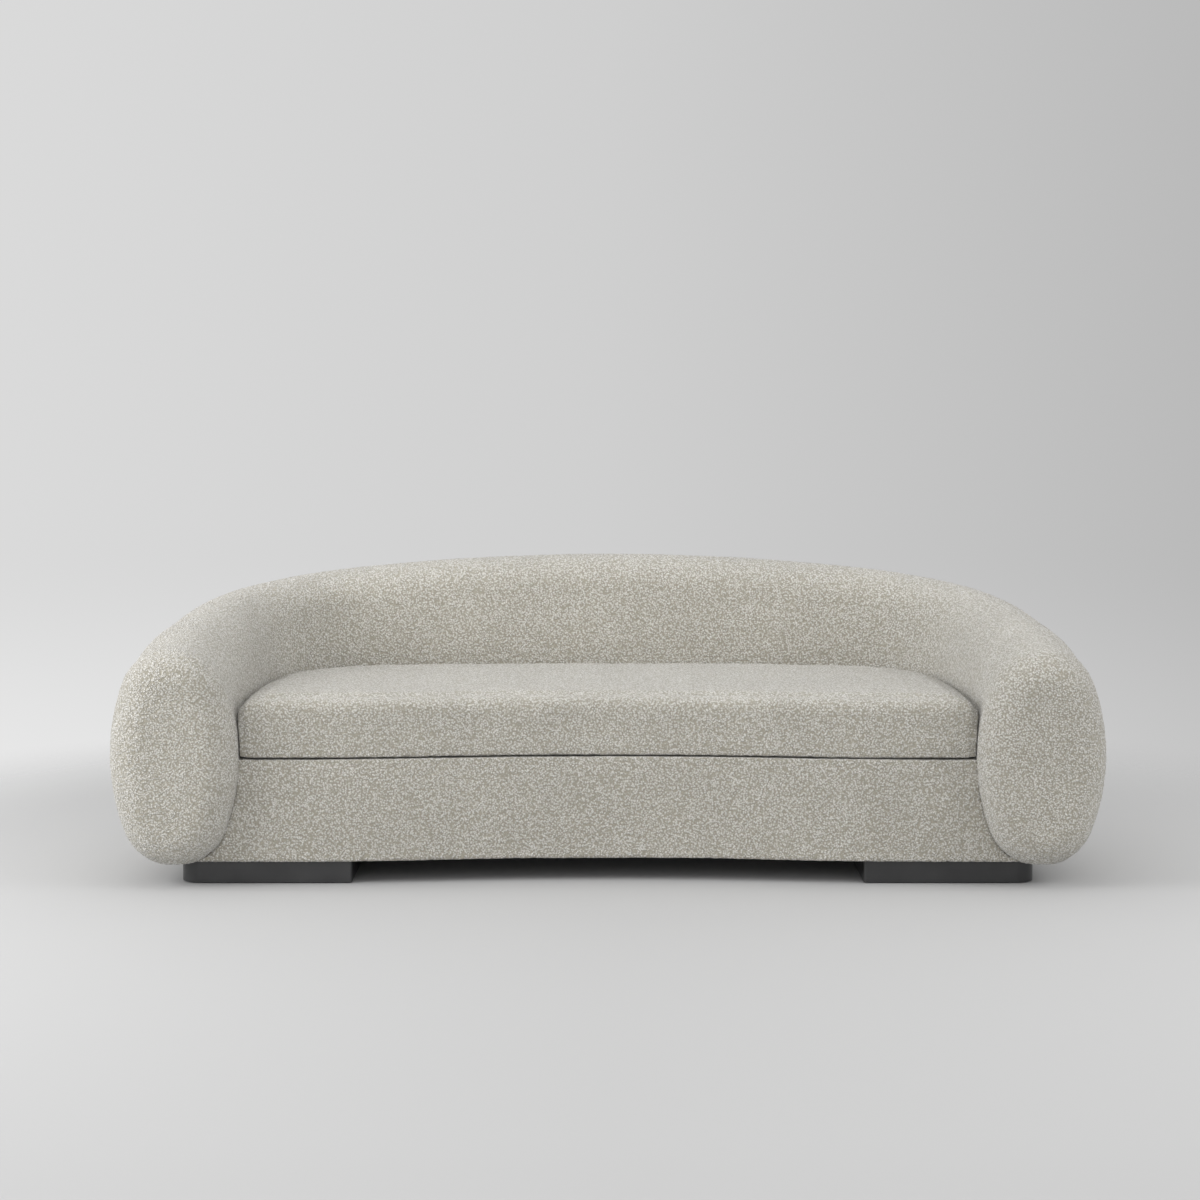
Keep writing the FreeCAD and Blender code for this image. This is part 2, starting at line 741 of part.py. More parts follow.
foam_shell = tube(FOAM_OUTSIDE).cut(tube(FOAM_INSIDE)).cut(BASE_SLOT)
add_split("foam", foam_shell.cut(slab(UNDERSIDE - 2 * OVERCUT, BASE_LOW)))

cover_shell = tube(Inset(0, 0, 0, 0)).cut(tube(COVER_INSIDE)).cut(BASE_SLOT)
add_node("arm_and_back_cover", cover_shell.cut(slab(UNDERSIDE - 2 * OVERCUT, UNDERSIDE)))

# Seat frame: straight front rail, bent seat rails, shape plates and stretchers.

FRONT_RAIL_BACK = START_Y + size("front_rail_back")
FRONT_RAIL_FRONT = FRONT_RAIL_BACK - size("front_rail_board")

front_rail = doc.addObject("Part::Box", "front_rail")
bind(
    front_rail,
    Length="Sizes.overall_width - 2 * Sizes.arm_thickness - 2 * Sizes.seat_rail_gap",
    Width="Sizes.front_rail_board",
    Height=(
        "Sizes.seat_deck - Sizes.deck_cloth - Sizes.deck_pad - 2 * Sizes.strap_thickness"
        " - Sizes.underside - Sizes.bottom_cloth - Sizes.base_board"
    ),
)
front_rail.Placement.Base = Vector(SEAT_RAIL_OUTER - START_X, FRONT_RAIL_FRONT, BASE_TOP)
keep_node(front_rail, "front_rail")

rail_band = band(-SEAT_RAIL_INNER, -SEAT_RAIL_OUTER, 0, HALF_PATH, BASE_TOP, SIDE_RAIL_TOP)
strap_span = size("strap_count") * size("strap_pitch")
strap_rebate = Part.makeBox(
    strap_span,
    size("overall_depth"),
    OVERCUT,
    Vector(-strap_span / 2, 0, FRONT_RAIL_TOP),
)
seat_rail = rail_band.cut(in_front_of(FRONT_RAIL_BACK, 0, DECK_TOP)).cut(strap_rebate)
add_node("seat_rail_right", seat_rail)
add_node("seat_rail_left", mirrored(seat_rail))
RAIL_SPLICE_BOARD = 18.0
RAIL_SPLICE_HALF = 120.0
rail_splice = band(
    -SEAT_RAIL_INNER - RAIL_SPLICE_BOARD,
    -SEAT_RAIL_INNER - size("lath_clearance"),
    HALF_PATH - RAIL_SPLICE_HALF,
    HALF_PATH + RAIL_SPLICE_HALF,
    BASE_TOP + size("stretcher_height"),
    FRONT_RAIL_TOP - OVERCUT,
)
add_node("seat_rail_splice", rail_splice)

PLATE_SIDE_GAP = 0.5
PLATE_LAP = 50.0
lower_blank = front_block(
    PLATE_FRONT, START_X, FRONT_RAIL_BACK + PLATE_LAP, BASE_LOW, BASE_TOP
)
beside_plate = base_outline(PLATE_SIDE_GAP, BASE_LOW - OVERCUT, BASE_TOP + OVERCUT)
lower_plate = lower_blank.cut(beside_plate).cut(mirrored(beside_plate))
add_node("front_plate_lower", lower_plate.cut(TEE_HOLES))
upper_plate = front_block(
    PLATE_FRONT,
    START_X - size("arm_thickness") / 2 - 2 * OVERCUT,
    FRONT_RAIL_FRONT,
    FRONT_RAIL_TOP - size("front_ply"),
    FRONT_RAIL_TOP,
)
add_node("front_plate_upper", upper_plate)

skin_outside = FRONT_STACK - size("front_hardboard")
skin_block = front_block(skin_outside, START_X, FRONT_RAIL_FRONT, BASE_LOW, FRONT_RAIL_TOP)
skin_back = front_block(
    FRONT_STACK, START_X, FRONT_RAIL_BACK, BASE_LOW - OVERCUT, FRONT_RAIL_TOP + OVERCUT
)
add_node("front_hardboard", skin_block.cut(skin_back).cut(TUBE_CLEAR))


def back_reach(x, offset):
    """Y of a line beside the back stretch of the path, at a given x."""

    def short_of(run):
        return beside_path(run, -offset, 0).x > x

    return beside_path(run_where(short_of, 0, HALF_PATH), -offset, 0).y


for stretcher_number in (-1, 0, 1):
    stretcher_x = stretcher_number * size("stretcher_pitch")
    reach_offset = SEAT_RAIL_INNER + size("lath_clearance")
    stretcher_end = back_reach(abs(stretcher_x) + size("stretcher_width") / 2, reach_offset)
    stretcher = doc.addObject("Part::Box", "seat_stretcher")
    bind(stretcher, Length="Sizes.stretcher_width", Height="Sizes.stretcher_height")
    stretcher.Width = stretcher_end - FRONT_RAIL_BACK
    stretcher_left = stretcher_x - size("stretcher_width") / 2
    stretcher.Placement.Base = Vector(stretcher_left, FRONT_RAIL_BACK, BASE_TOP)
    side_name = {-1: "left", 0: "middle", 1: "right"}[stretcher_number]
    keep_node(stretcher, f"seat_stretcher_{side_name}")

GLUE_BLOCK_LOW = 200.0
GLUE_BLOCK_HEIGHT = 60.0


def glue_block():
    """Triangular block in the corner of front rail and right seat rail."""
    offset = -SEAT_RAIL_INNER - size("lath_clearance")

    def rail_face(y):
        run = run_where(lambda r: beside_path(r, offset, 0).y < y, 0, HALF_PATH)
        return beside_path(run, offset, GLUE_BLOCK_LOW)

    corner = rail_face(FRONT_RAIL_BACK)
    along_side = rail_face(FRONT_RAIL_BACK + size("glue_block"))
    along_front = corner + Vector(-size("glue_block"), 0, 0)
    wire = Part.makePolygon([corner, along_side, along_front, corner])
    return Part.Face(wire).extrude(Vector(0, 0, GLUE_BLOCK_HEIGHT))


add_node("corner_block_right", glue_block())
add_node("corner_block_left", mirrored(glue_block()))

# Webbing: straps from front to back, and straps across them.

STRAP_END_LAP = 16.0


def middle_places(count, pitch):
    """Evenly spaced places about the middle."""
    return [(number - (count - 1) / 2) * pitch for number in range(int(count))]


straps = []
for strap_x in middle_places(size("strap_count"), size("strap_pitch")):
    strap_half = size("strap_width") / 2
    strap_back = back_reach(abs(strap_x) + strap_half, SEAT_RAIL_OUTER) - PLATE_SIDE_GAP
    strap_front = FRONT_RAIL_BACK - STRAP_END_LAP
    straps.append(
        Part.makeBox(
            size("strap_width"),
            strap_back - strap_front,
            size("strap_thickness"),
            Vector(strap_x - strap_half, strap_front, FRONT_RAIL_TOP),
        )
    )
add_node("webbing_lengthways", Part.makeCompound(straps))

CROSS_STRAP_MIDDLE = START_Y + 330.0


def side_reach(y, offset):
    """X of a line beside the right arm's stretch of the path, at a given y."""

    def short_of(run):
        return beside_path(run, -offset, 0).y < y

    return beside_path(run_where(short_of, 0, HALF_PATH), -offset, 0).x


cross_straps = []
for strap_offset in middle_places(size("cross_strap_count"), size("cross_strap_pitch")):
    strap_low_y = CROSS_STRAP_MIDDLE + strap_offset - size("strap_width") / 2
    strap_reach = side_reach(strap_low_y + size("strap_width"), SEAT_RAIL_OUTER) - PLATE_SIDE_GAP
    cross_straps.append(
        Part.makeBox(
            2 * strap_reach,
            size("strap_width"),
            size("strap_thickness"),
            Vector(-strap_reach, strap_low_y, SIDE_RAIL_TOP),
        )
    )
add_node("webbing_crossways", Part.makeCompound(cross_straps))

# Deck pad and deck cloth behind the apron's lip.

LIP_BACK = START_Y + size("apron_lip")


def seat_offset(run, height):
    """Path to the tube's seat-side face; above the widest line it falls back."""
    half = half_width(run)
    middle = middle_height(run)
    if height <= middle:
        return half
    tall = middle - size("oval_low_line")
    radius = side_radius(half, tall, size("oval_end_share") * half)
    return half - radius + math.sqrt(radius**2 - (height - middle) ** 2)


def seat_line(gap, start, height):
    """Arcs along the tube's seat-side face, from right front to left front."""
    return offset_edges(
        lambda run: -seat_offset(run, height) - gap, start, FULL_PATH - start, height
    )


DECK_LINE_START = 20.0


def deck_layer(gap, low, high):
    """Layer that fills the seat space behind the apron's lip."""
    edges = seat_line(gap, DECK_LINE_START, low)
    closing = Part.LineSegment(edges[-1].lastVertex().Point, edges[0].firstVertex().Point)
    wire = Part.Wire(Part.__sortEdges__(edges + [closing.toShape()]))
    layer = Part.Face(wire).extrude(Vector(0, 0, high - low))
    return layer.cut(in_front_of(LIP_BACK, low - OVERCUT, high + OVERCUT))


add_node("deck_pad", deck_layer(size("nest_gap"), CROSS_STRAP_TOP, PAD_TOP))
add_node("deck_cloth", deck_layer(size("nest_gap"), PAD_TOP, DECK_TOP))

# Apron: cover and pad wrap over the front's top edge.

APRON_ROUND = size("apron_round")
apron_outside = rounded_front_block(0, LIP_BACK, UNDERSIDE, DECK_TOP, APRON_ROUND)
apron_inside = rounded_front_block(
    size("cover_skin"),
    LIP_BACK + OVERCUT,
    UNDERSIDE - OVERCUT,
    APRON_PAD_TOP,
    APRON_ROUND - size("cover_skin"),
)
add_node("apron_cover", apron_outside.cut(apron_inside).cut(TUBE_CLEAR))

pad_inset = size("cover_skin") + size("nest_gap")
pad_outside = rounded_front_block(
    pad_inset, LIP_BACK, BASE_LOW, APRON_PAD_TOP, APRON_ROUND - pad_inset
)
pad_inside = front_block(
    pad_inset + size("apron_pad"),
    START_X,
    LIP_BACK + OVERCUT,
    BASE_LOW - OVERCUT,
    FRONT_RAIL_TOP,
)
add_node("apron_pad", pad_outside.cut(pad_inside).cut(TUBE_CLEAR))

# Black cloth under the base.

CLOTH_INSET = 1.0


def bolt_holes():
    """Holes for the plinth bolts through the cloth."""
    radius = size("bolt_radius") + size("bolt_play")
    holes = []
    for place in both_sides(BOLT_PLACES):
        holes.append(upright(radius, UNDERSIDE - OVERCUT, BASE_TOP, place))
    return Part.makeCompound(holes)


def bottom_cloth():
    """Thin cloth over the whole underside, within the covers."""
    outer = size("base_outer") - CLOTH_INSET
    edges = offset_edges(lambda run: outer, 0, FULL_PATH, UNDERSIDE)
    closing = Part.LineSegment(edges[-1].lastVertex().Point, edges[0].firstVertex().Point)
    outline = Part.Face(Part.Wire(edges + [closing.toShape()]))
    whole = outline.extrude(Vector(0, 0, BASE_LOW - UNDERSIDE))
    front = front_block(
        PLATE_FRONT + CLOTH_INSET,
        START_X + size("arm_thickness"),
        size("overall_depth"),
        UNDERSIDE - OVERCUT,
        BASE_LOW + OVERCUT,
    )
    tongue = band(-outer, outer, -size("base_tongue"), PLATE_FRONT + OVERCUT, UNDERSIDE, BASE_LOW)
    cloth = whole.common(front).fuse(tongue).fuse(mirrored(tongue))
    return cloth.removeSplitter().cut(bolt_holes())


add_node("bottom_cloth", bottom_cloth())

# Plinths: solid blocks with rounded outer corners and counterbored bolt holes.


def origin_plane(body, role):
    """One of a body's own origin planes."""
    return next(plane for plane in body.Origin.OriginFeatures if plane.Role == role)


def new_sketch(body, name):
    """Empty sketch on a body's XY plane."""
    sketch = body.newObject("Sketcher::SketchObject", name)
    sketch.AttachmentSupport = (origin_plane(body, "XY_Plane"), [""])
    sketch.MapMode = "FlatFace"
    return sketch


def rectangle_sketch(body, name, length_expression, width_expression):
    """Rectangle from the origin, with both sides bound to the sheet."""
    sketch = new_sketch(body, name)
    corners = [Vector(0, 0, 0), Vector(100, 0, 0), Vector(100, 100, 0), Vector(0, 100, 0)]
    for first, second in zip(corners, corners[1:] + corners[:1]):
        sketch.addGeometry(Part.LineSegment(first, second), False)
    for line in range(4):
        sketch.addConstraint(Sketcher.Constraint("Coincident", line, 2, (line + 1) % 4, 1))
    sketch.addConstraint(Sketcher.Constraint("Horizontal", 0))
    sketch.addConstraint(Sketcher.Constraint("Vertical", 1))
    sketch.addConstraint(Sketcher.Constraint("Horizontal", 2))
    sketch.addConstraint(Sketcher.Constraint("Vertical", 3))
    sketch.addConstraint(Sketcher.Constraint("Coincident", 0, 1, -1, 1))
    length = sketch.addConstraint(Sketcher.Constraint("DistanceX", 0, 1, 0, 2, 100.0))
    width = sketch.addConstraint(Sketcher.Constraint("DistanceY", 1, 1, 1, 2, 100.0))
    sketch.setExpression(f"Constraints[{length}]", length_expression)
    sketch.setExpression(f"Constraints[{width}]", width_expression)
    return sketch


def circles_sketch(body, name, places, radius_expression):
    """Circles of one bound radius at plan places in the body's own frame."""
    sketch = new_sketch(body, name)
    for x, y in places:
        circle = sketch.addGeometry(Part.Circle(Vector(x, y, 0), Vector(0, 0, 1), 5.0), False)
        sketch.addConstraint(Sketcher.Constraint("DistanceX", -1, 1, circle, 3, x))
        sketch.addConstraint(Sketcher.Constraint("DistanceY", -1, 1, circle, 3, y))
        radius = sketch.addConstraint(Sketcher.Constraint("Radius", circle, 5.0))
        sketch.setExpression(f"Constraints[{radius}]", radius_expression)
    return sketch


def upright_edge(shape, x, y):
    """Name of the upright edge at a plan place of a box-like shape."""
    for number, edge in enumerate(shape.Edges, start=1):
        box = edge.BoundBox
        at_place = math.hypot(box.XMin - x, box.YMin - y) < 0.01
        if at_place and box.XLength < 0.01 and box.YLength < 0.01:
            return f"Edge{number}"
    raise ValueError(f"no upright edge at {x}, {y}")


def round_edge(body, base, name, place, radius_expression):
    """Fillet of one upright edge, bound to the sheet."""
    doc.recompute()
    fillet = body.newObject("PartDesign::Fillet", name)
    fillet.Base = (base, [upright_edge(base.Shape, *place)])
    fillet.setExpression("Radius", radius_expression)
    doc.recompute()
    return fillet


def sink(body, name, sketch, depth_expression=None):
    """Pocket upwards from the sketch plane, through everything if no depth is given."""
    volume_before = body.Tip.Shape.Volume
    pocket = body.newObject("PartDesign::Pocket", name)
    pocket.Profile = sketch
    pocket.Reversed = True
    if depth_expression is None:
        pocket.Type = "ThroughAll"
    else:
        pocket.setExpression("Length", depth_expression)
    doc.recompute()
    if pocket.Shape.Volume >= volume_before:
        raise RuntimeError(f"{name} cuts nothing")
    return pocket


plinth = doc.addObject("PartDesign::Body", "plinth_right")
plinth_outline = rectangle_sketch(
    plinth,
    "plinth_outline",
    "Sizes.plinth_width",
    "Sizes.overall_depth - Sizes.back_thickness / 2 - Sizes.arm_front_round"
    " - Sizes.plinth_front_inset - Sizes.plinth_back_inset",
)
plinth_block = plinth.newObject("PartDesign::Pad", "plinth_block")
plinth_block.Profile = plinth_outline
plinth_block.setExpression("Length", "Sizes.underside - Sizes.glide_thickness")
front_round = round_edge(
    plinth, plinth_block, "front_round", (size("plinth_width"), 0), "Sizes.plinth_front_round"
)
rear_round = round_edge(
    plinth,
    front_round,
    "rear_round",
    (size("plinth_width"), PLINTH_LENGTH),
    "Sizes.plinth_rear_round",
)
inner_front = round_edge(plinth, rear_round, "inner_front", (0, 0), "Sizes.plinth_inner_round")
inner_rear = round_edge(
    plinth, inner_front, "inner_rear", (0, PLINTH_LENGTH), "Sizes.plinth_inner_round"
)
plinth_bolts = [(x - PLINTH_INNER, y - PLINTH_FRONT) for x, y in BOLT_PLACES]
head_circles = circles_sketch(
    plinth, "head_circles", plinth_bolts, "Sizes.bolt_head_radius + Sizes.bolt_head_room"
)
sink(plinth, "counterbores", head_circles, "Sizes.bolt_sink")
shank_circles = circles_sketch(
    plinth, "shank_circles", plinth_bolts, "Sizes.bolt_radius + Sizes.bolt_play"
)
sink(plinth, "bolt_holes", shank_circles)
plinth.Placement.Base = Vector(PLINTH_INNER, PLINTH_FRONT, PLINTH_LOW)
keep_node(plinth, "plinth_right")

plinth_left = doc.addObject("Part::Mirroring", "plinth_left")
plinth_left.Source = plinth
plinth_left.Normal = Vector(1, 0, 0)
keep_node(plinth_left, "plinth_left")

# Felt glides, plinth bolts and tee nuts.


def cylinder(name, radius_expression, height_expression, place, low):
    """Upright cylinder bound to the sheet."""
    feature = doc.addObject("Part::Cylinder", name)
    bind(feature, Radius=radius_expression, Height=height_expression)
    feature.Placement.Base = Vector(place[0], place[1], low)
    return feature


def group(name, features):
    """Several separate pieces of one kind as one sub-part."""
    compound = doc.addObject("Part::Compound", name)
    compound.Links = features
    return keep_node(compound, name)


GLIDE_EDGE = 40.0
GLIDE_PLACES = [
    (PLINTH_INNER + GLIDE_EDGE, PLINTH_FRONT + GLIDE_EDGE),
    (PLINTH_OUTER - GLIDE_EDGE, PLINTH_FRONT + GLIDE_EDGE),
    (PLINTH_INNER + GLIDE_EDGE, PLINTH_FRONT + PLINTH_LENGTH / 2),
    (PLINTH_OUTER - GLIDE_EDGE, PLINTH_FRONT + PLINTH_LENGTH / 2),
    (PLINTH_INNER + GLIDE_EDGE, PLINTH_FRONT + PLINTH_LENGTH - GLIDE_EDGE),
    (PLINTH_INNER + 3 * GLIDE_EDGE, PLINTH_FRONT + PLINTH_LENGTH - GLIDE_EDGE),
]
for side, side_name in ((1, "right"), (-1, "left")):
    glides = []
    for x, y in GLIDE_PLACES:
        glides.append(
            cylinder("glide", "Sizes.glide_radius", "Sizes.glide_thickness", (side * x, y), 0)
        )
    group(f"felt_glides_{side_name}", glides)


def bolt(place):
    """Plinth bolt with a socket in its head."""
    head_low = BOLT_HEAD_TOP - size("bolt_head_height")
    head = cylinder(
        "bolt_head", "Sizes.bolt_head_radius", "Sizes.bolt_head_height", place, head_low
    )
    shank = cylinder(
        "bolt_shank",
        "Sizes.bolt_radius",
        "Sizes.underside + Sizes.bottom_cloth + Sizes.base_board - Sizes.bolt_end_gap"
        " - Sizes.glide_thickness - Sizes.bolt_sink",
        place,
        BOLT_HEAD_TOP,
    )
    socket = doc.addObject("Part::Prism", "bolt_socket")
    bind(socket, Circumradius="Sizes.bolt_head_radius / 2", Height="Sizes.bolt_head_height / 2")
    socket.Placement.Base = Vector(place[0], place[1], head_low)
    whole = doc.addObject("Part::Fuse", "bolt_blank")
    whole.Base = head
    whole.Tool = shank
    drilled = doc.addObject("Part::Cut", "bolt")
    drilled.Base = whole
    drilled.Tool = socket
    return drilled


def tee_nut(place):
    """Tee nut let into the top of the base board."""
    flange_low = BASE_TOP - size("tee_flange")
    flange = cylinder("flange", "Sizes.tee_flange_radius", "Sizes.tee_flange", place, flange_low)
    barrel_low = flange_low - size("tee_barrel")
    barrel = cylinder("barrel", "Sizes.tee_barrel_radius", "Sizes.tee_barrel", place, barrel_low)
    bore = cylinder(
        "bore",
        "Sizes.bolt_radius + Sizes.thread_play",
        "Sizes.tee_barrel + Sizes.tee_flange",
        place,
        barrel_low,
    )
    whole = doc.addObject("Part::Fuse", "tee_blank")
    whole.Base = flange
    whole.Tool = barrel
    drilled = doc.addObject("Part::Cut", "tee_nut")
    drilled.Base = whole
    drilled.Tool = bore
    return drilled


group("plinth_bolts", [bolt(place) for place in both_sides(BOLT_PLACES)])
group("tee_nuts", [tee_nut(place) for place in both_sides(BOLT_PLACES)])

# Seat cushion: a block with the ogee front, its sides along the tube, rounded edges.

CUSHION_LOW = DECK_TOP + size("cushion_seat_gap")
LEAST_ROUND = 3.0


def cushion_outline(inset, height):
    """Plan outline of the cushion: ogee front, sides clear of the tube's widest line."""
    gap = size("cushion_play") + inset
    corner = size("cushion_corner") - inset
    front_y = START_Y + inset
    start = run_where(
        lambda run: beside_path(run, -half_width(run) - gap, 0).y < front_y + corner,
        0,
        ARM_LENGTH,
    )
    sides = offset_edges(lambda run: -half_width(run) - gap, start, FULL_PATH - start, height)
    right_end = beside_path(start, -half_width(start) - gap, height)
    half_length = right_end.x - corner
    slant = corner * math.sin(math.pi / 4)
    corner_x = half_length + slant
    corner_y = front_y + corner - slant
    left_end = Vector(-right_end.x, right_end.y, height)
    right_corner = Part.Arc(
        Vector(half_length, front_y, height), Vector(corner_x, corner_y, height), right_end
    )
    left_corner = Part.Arc(
        left_end, Vector(-corner_x, corner_y, height), Vector(-half_length, front_y, height)
    )
    front = ogee_edges(inset, half_length, height)
    return Part.Wire(front + [right_corner.toShape()] + sides + [left_corner.toShape()])


def flat_edges(solid, height):
    """Edges of a solid that lie at one height."""
    edges = []
    for edge in solid.Edges:
        box = edge.BoundBox
        if abs(box.ZMin - height) < 0.001 and abs(box.ZMax - height) < 0.001:
            edges.append(edge)
    return edges


def cushion_form(depth):
    """Cushion with rounded edges, depth mm inside its outer face."""
    low = CUSHION_LOW + depth
    high = size("cushion_top") - depth
    block = Part.Face(cushion_outline(depth, low)).extrude(Vector(0, 0, high - low))
    top_round = max(size("cushion_top_round") - depth, LEAST_ROUND)
    low_round = max(size("cushion_low_round") - depth, LEAST_ROUND)
    rounded = block.makeFillet(top_round, flat_edges(block, high))
    return rounded.makeFillet(low_round, flat_edges(rounded, low))


def zip_groove(depth):
    """Groove for the zip in the cushion's underside, grown by a skin's depth."""
    length = size("zip_length") + 2 * size("zip_end_room") + 2 * depth
    width = size("zip_groove_width") + 2 * depth
    low = CUSHION_LOW - OVERCUT
    height = OVERCUT + size("zip_groove_depth") + depth
    return Part.makeBox(
        length, width, height, Vector(-length / 2, size("zip_place") - width / 2, low)
    )


WRAP_OUTSIDE = size("cover_skin") + size("nest_gap")
WRAP_INSIDE = WRAP_OUTSIDE + size("cushion_wrap")
CORE_OUTSIDE = WRAP_INSIDE + size("nest_gap")

cover_outside = cushion_form(0).cut(zip_groove(0))
cover_inside = cushion_form(size("cover_skin")).cut(zip_groove(size("cover_skin")))
add_node("cushion_cover", cover_outside.cut(cover_inside))
wrap_outside = cushion_form(WRAP_OUTSIDE).cut(zip_groove(WRAP_OUTSIDE))
add_node("cushion_wrap", wrap_outside.cut(cushion_form(WRAP_INSIDE)))
add_node("cushion_core", cushion_form(CORE_OUTSIDE))

# Zip under the cushion: tape with its row of teeth, and a slider without a tab.

ZIP_ROOF = CUSHION_LOW + size("zip_groove_depth")
TAPE_LOW = ZIP_ROOF - size("zip_tape_thickness")
CHAIN_LOW = TAPE_LOW - size("zip_chain_thickness")


def bound_box(name, corner, **expressions):
    """Box bound to the sheet, with its low corner at a place."""
    feature = doc.addObject("Part::Box", name)
    bind(feature, **expressions)
    feature.Placement.Base = corner
    return feature


tape = bound_box(
    "tape",
    Vector(-size("zip_length") / 2, size("zip_place") - size("zip_tape_width") / 2, TAPE_LOW),
    Length="Sizes.zip_length",
    Width="Sizes.zip_tape_width",
    Height="Sizes.zip_tape_thickness",
)
chain = bound_box(
    "chain",
    Vector(-size("zip_length") / 2, size("zip_place") - size("zip_chain_width") / 2, CHAIN_LOW),
    Length="Sizes.zip_length",
    Width="Sizes.zip_chain_width",
    Height="Sizes.zip_chain_thickness",
)
zip_chain = doc.addObject("Part::Fuse", "zip_chain")
zip_chain.Base = tape
zip_chain.Tool = chain
keep_node(zip_chain, "zip_chain")

SLIDER_TOP = TAPE_LOW - size("zip_clearance")
SLIDER_LOW = SLIDER_TOP - size("zip_slider_height")
slider_left = OVERCUT - size("zip_length") / 2
slider_body = bound_box(
    "slider_body",
    Vector(slider_left, size("zip_place") - size("zip_slider_width") / 2, SLIDER_LOW),
    Length="Sizes.zip_slider_length",
    Width="Sizes.zip_slider_width",
    Height="Sizes.zip_slider_height",
)
slider_slot = bound_box(
    "slider_slot",
    Vector(
        slider_left - size("slot_overrun"),
        size("zip_place") - size("zip_chain_width") / 2 - size("zip_clearance"),
        CHAIN_LOW - size("zip_clearance"),
    ),
    Length="Sizes.zip_slider_length + 2 * Sizes.slot_overrun",
    Width="Sizes.zip_chain_width + 2 * Sizes.zip_clearance",
    Height="Sizes.zip_chain_thickness + Sizes.slot_overrun",
)
zip_slider = doc.addObject("Part::Cut", "zip_slider")
zip_slider.Base = slider_body
zip_slider.Tool = slider_slot
keep_node(zip_slider, "zip_slider")

# Check every object, then write each sub-part.

doc.recompute()
for checked in doc.Objects:
    if "Invalid" in checked.State or "Error" in checked.State:
        raise RuntimeError(f"{checked.Label} failed: {checked.State}")

finished = {name: doc.getObjectsByLabel(name)[0].Shape for name in node_names}
for name, shape in finished.items():
    if shape.isNull() or not shape.isValid():
        raise RuntimeError(f"{name} has no valid shape")

os.makedirs("parts", exist_ok=True)
for name, shape in finished.items():
    shape.exportStep(f"parts/{name}.step")
    print(f"{name}: {len(shape.Solids)} solids, {shape.Volume / 1e6:.3f} litres")
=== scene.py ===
import json
import logging
import math
from abc import ABC, abstractmethod
from collections.abc import Iterable, Sequence
from dataclasses import dataclass, field
from enum import Enum

import bmesh
import bpy
import numpy as np
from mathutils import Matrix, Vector
from mathutils.bvhtree import BVHTree

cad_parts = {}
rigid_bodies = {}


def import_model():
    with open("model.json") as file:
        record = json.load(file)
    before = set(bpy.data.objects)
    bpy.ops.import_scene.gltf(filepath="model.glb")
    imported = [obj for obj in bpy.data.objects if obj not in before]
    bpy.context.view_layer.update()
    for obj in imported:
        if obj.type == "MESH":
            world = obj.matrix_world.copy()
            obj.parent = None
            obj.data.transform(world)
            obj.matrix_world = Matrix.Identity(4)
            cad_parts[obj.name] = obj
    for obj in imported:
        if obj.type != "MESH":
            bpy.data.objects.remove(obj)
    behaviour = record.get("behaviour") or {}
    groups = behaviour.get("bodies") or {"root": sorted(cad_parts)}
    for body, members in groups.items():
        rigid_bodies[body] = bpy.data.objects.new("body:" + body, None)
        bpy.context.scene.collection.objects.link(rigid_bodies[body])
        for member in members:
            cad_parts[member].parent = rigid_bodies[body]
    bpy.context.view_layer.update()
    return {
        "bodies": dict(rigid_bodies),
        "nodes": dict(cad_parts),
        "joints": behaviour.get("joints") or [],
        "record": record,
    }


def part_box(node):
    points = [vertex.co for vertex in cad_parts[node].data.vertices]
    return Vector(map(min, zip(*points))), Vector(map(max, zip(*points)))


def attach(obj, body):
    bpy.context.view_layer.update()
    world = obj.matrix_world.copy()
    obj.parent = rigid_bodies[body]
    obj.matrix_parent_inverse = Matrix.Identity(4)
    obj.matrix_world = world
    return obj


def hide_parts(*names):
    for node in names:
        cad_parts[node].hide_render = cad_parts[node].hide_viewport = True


logging.basicConfig(level=logging.INFO, format="%(name)s: %(message)s")
LOG = logging.getLogger("sofa")

Colour = tuple[float, float, float]
Frame = dict[str, object]


class Body(Enum):
    """Moving bodies of the sofa."""

    FRAME = "sofa_frame"
    CUSHION = "seat_cushion"
    SLIDER = "zip_slider"


class Slot(Enum):
    """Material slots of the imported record."""

    BOUCLE = "boucle"
    FOAM = "foam"
    WADDING = "wadding"
    FELT = "felt"
    DECK_CLOTH = "deck_cloth"
    BLACK_CLOTH = "black_cloth"
    WEBBING = "webbing"
    PLYWOOD = "plywood"
    BEECH = "beech"
    HARDBOARD = "hardboard"
    BLACK_LACQUER = "black_lacquer"
    ZINC_STEEL = "zinc_steel"
    ZIP_NYLON = "zip_nylon"


# Finishes.


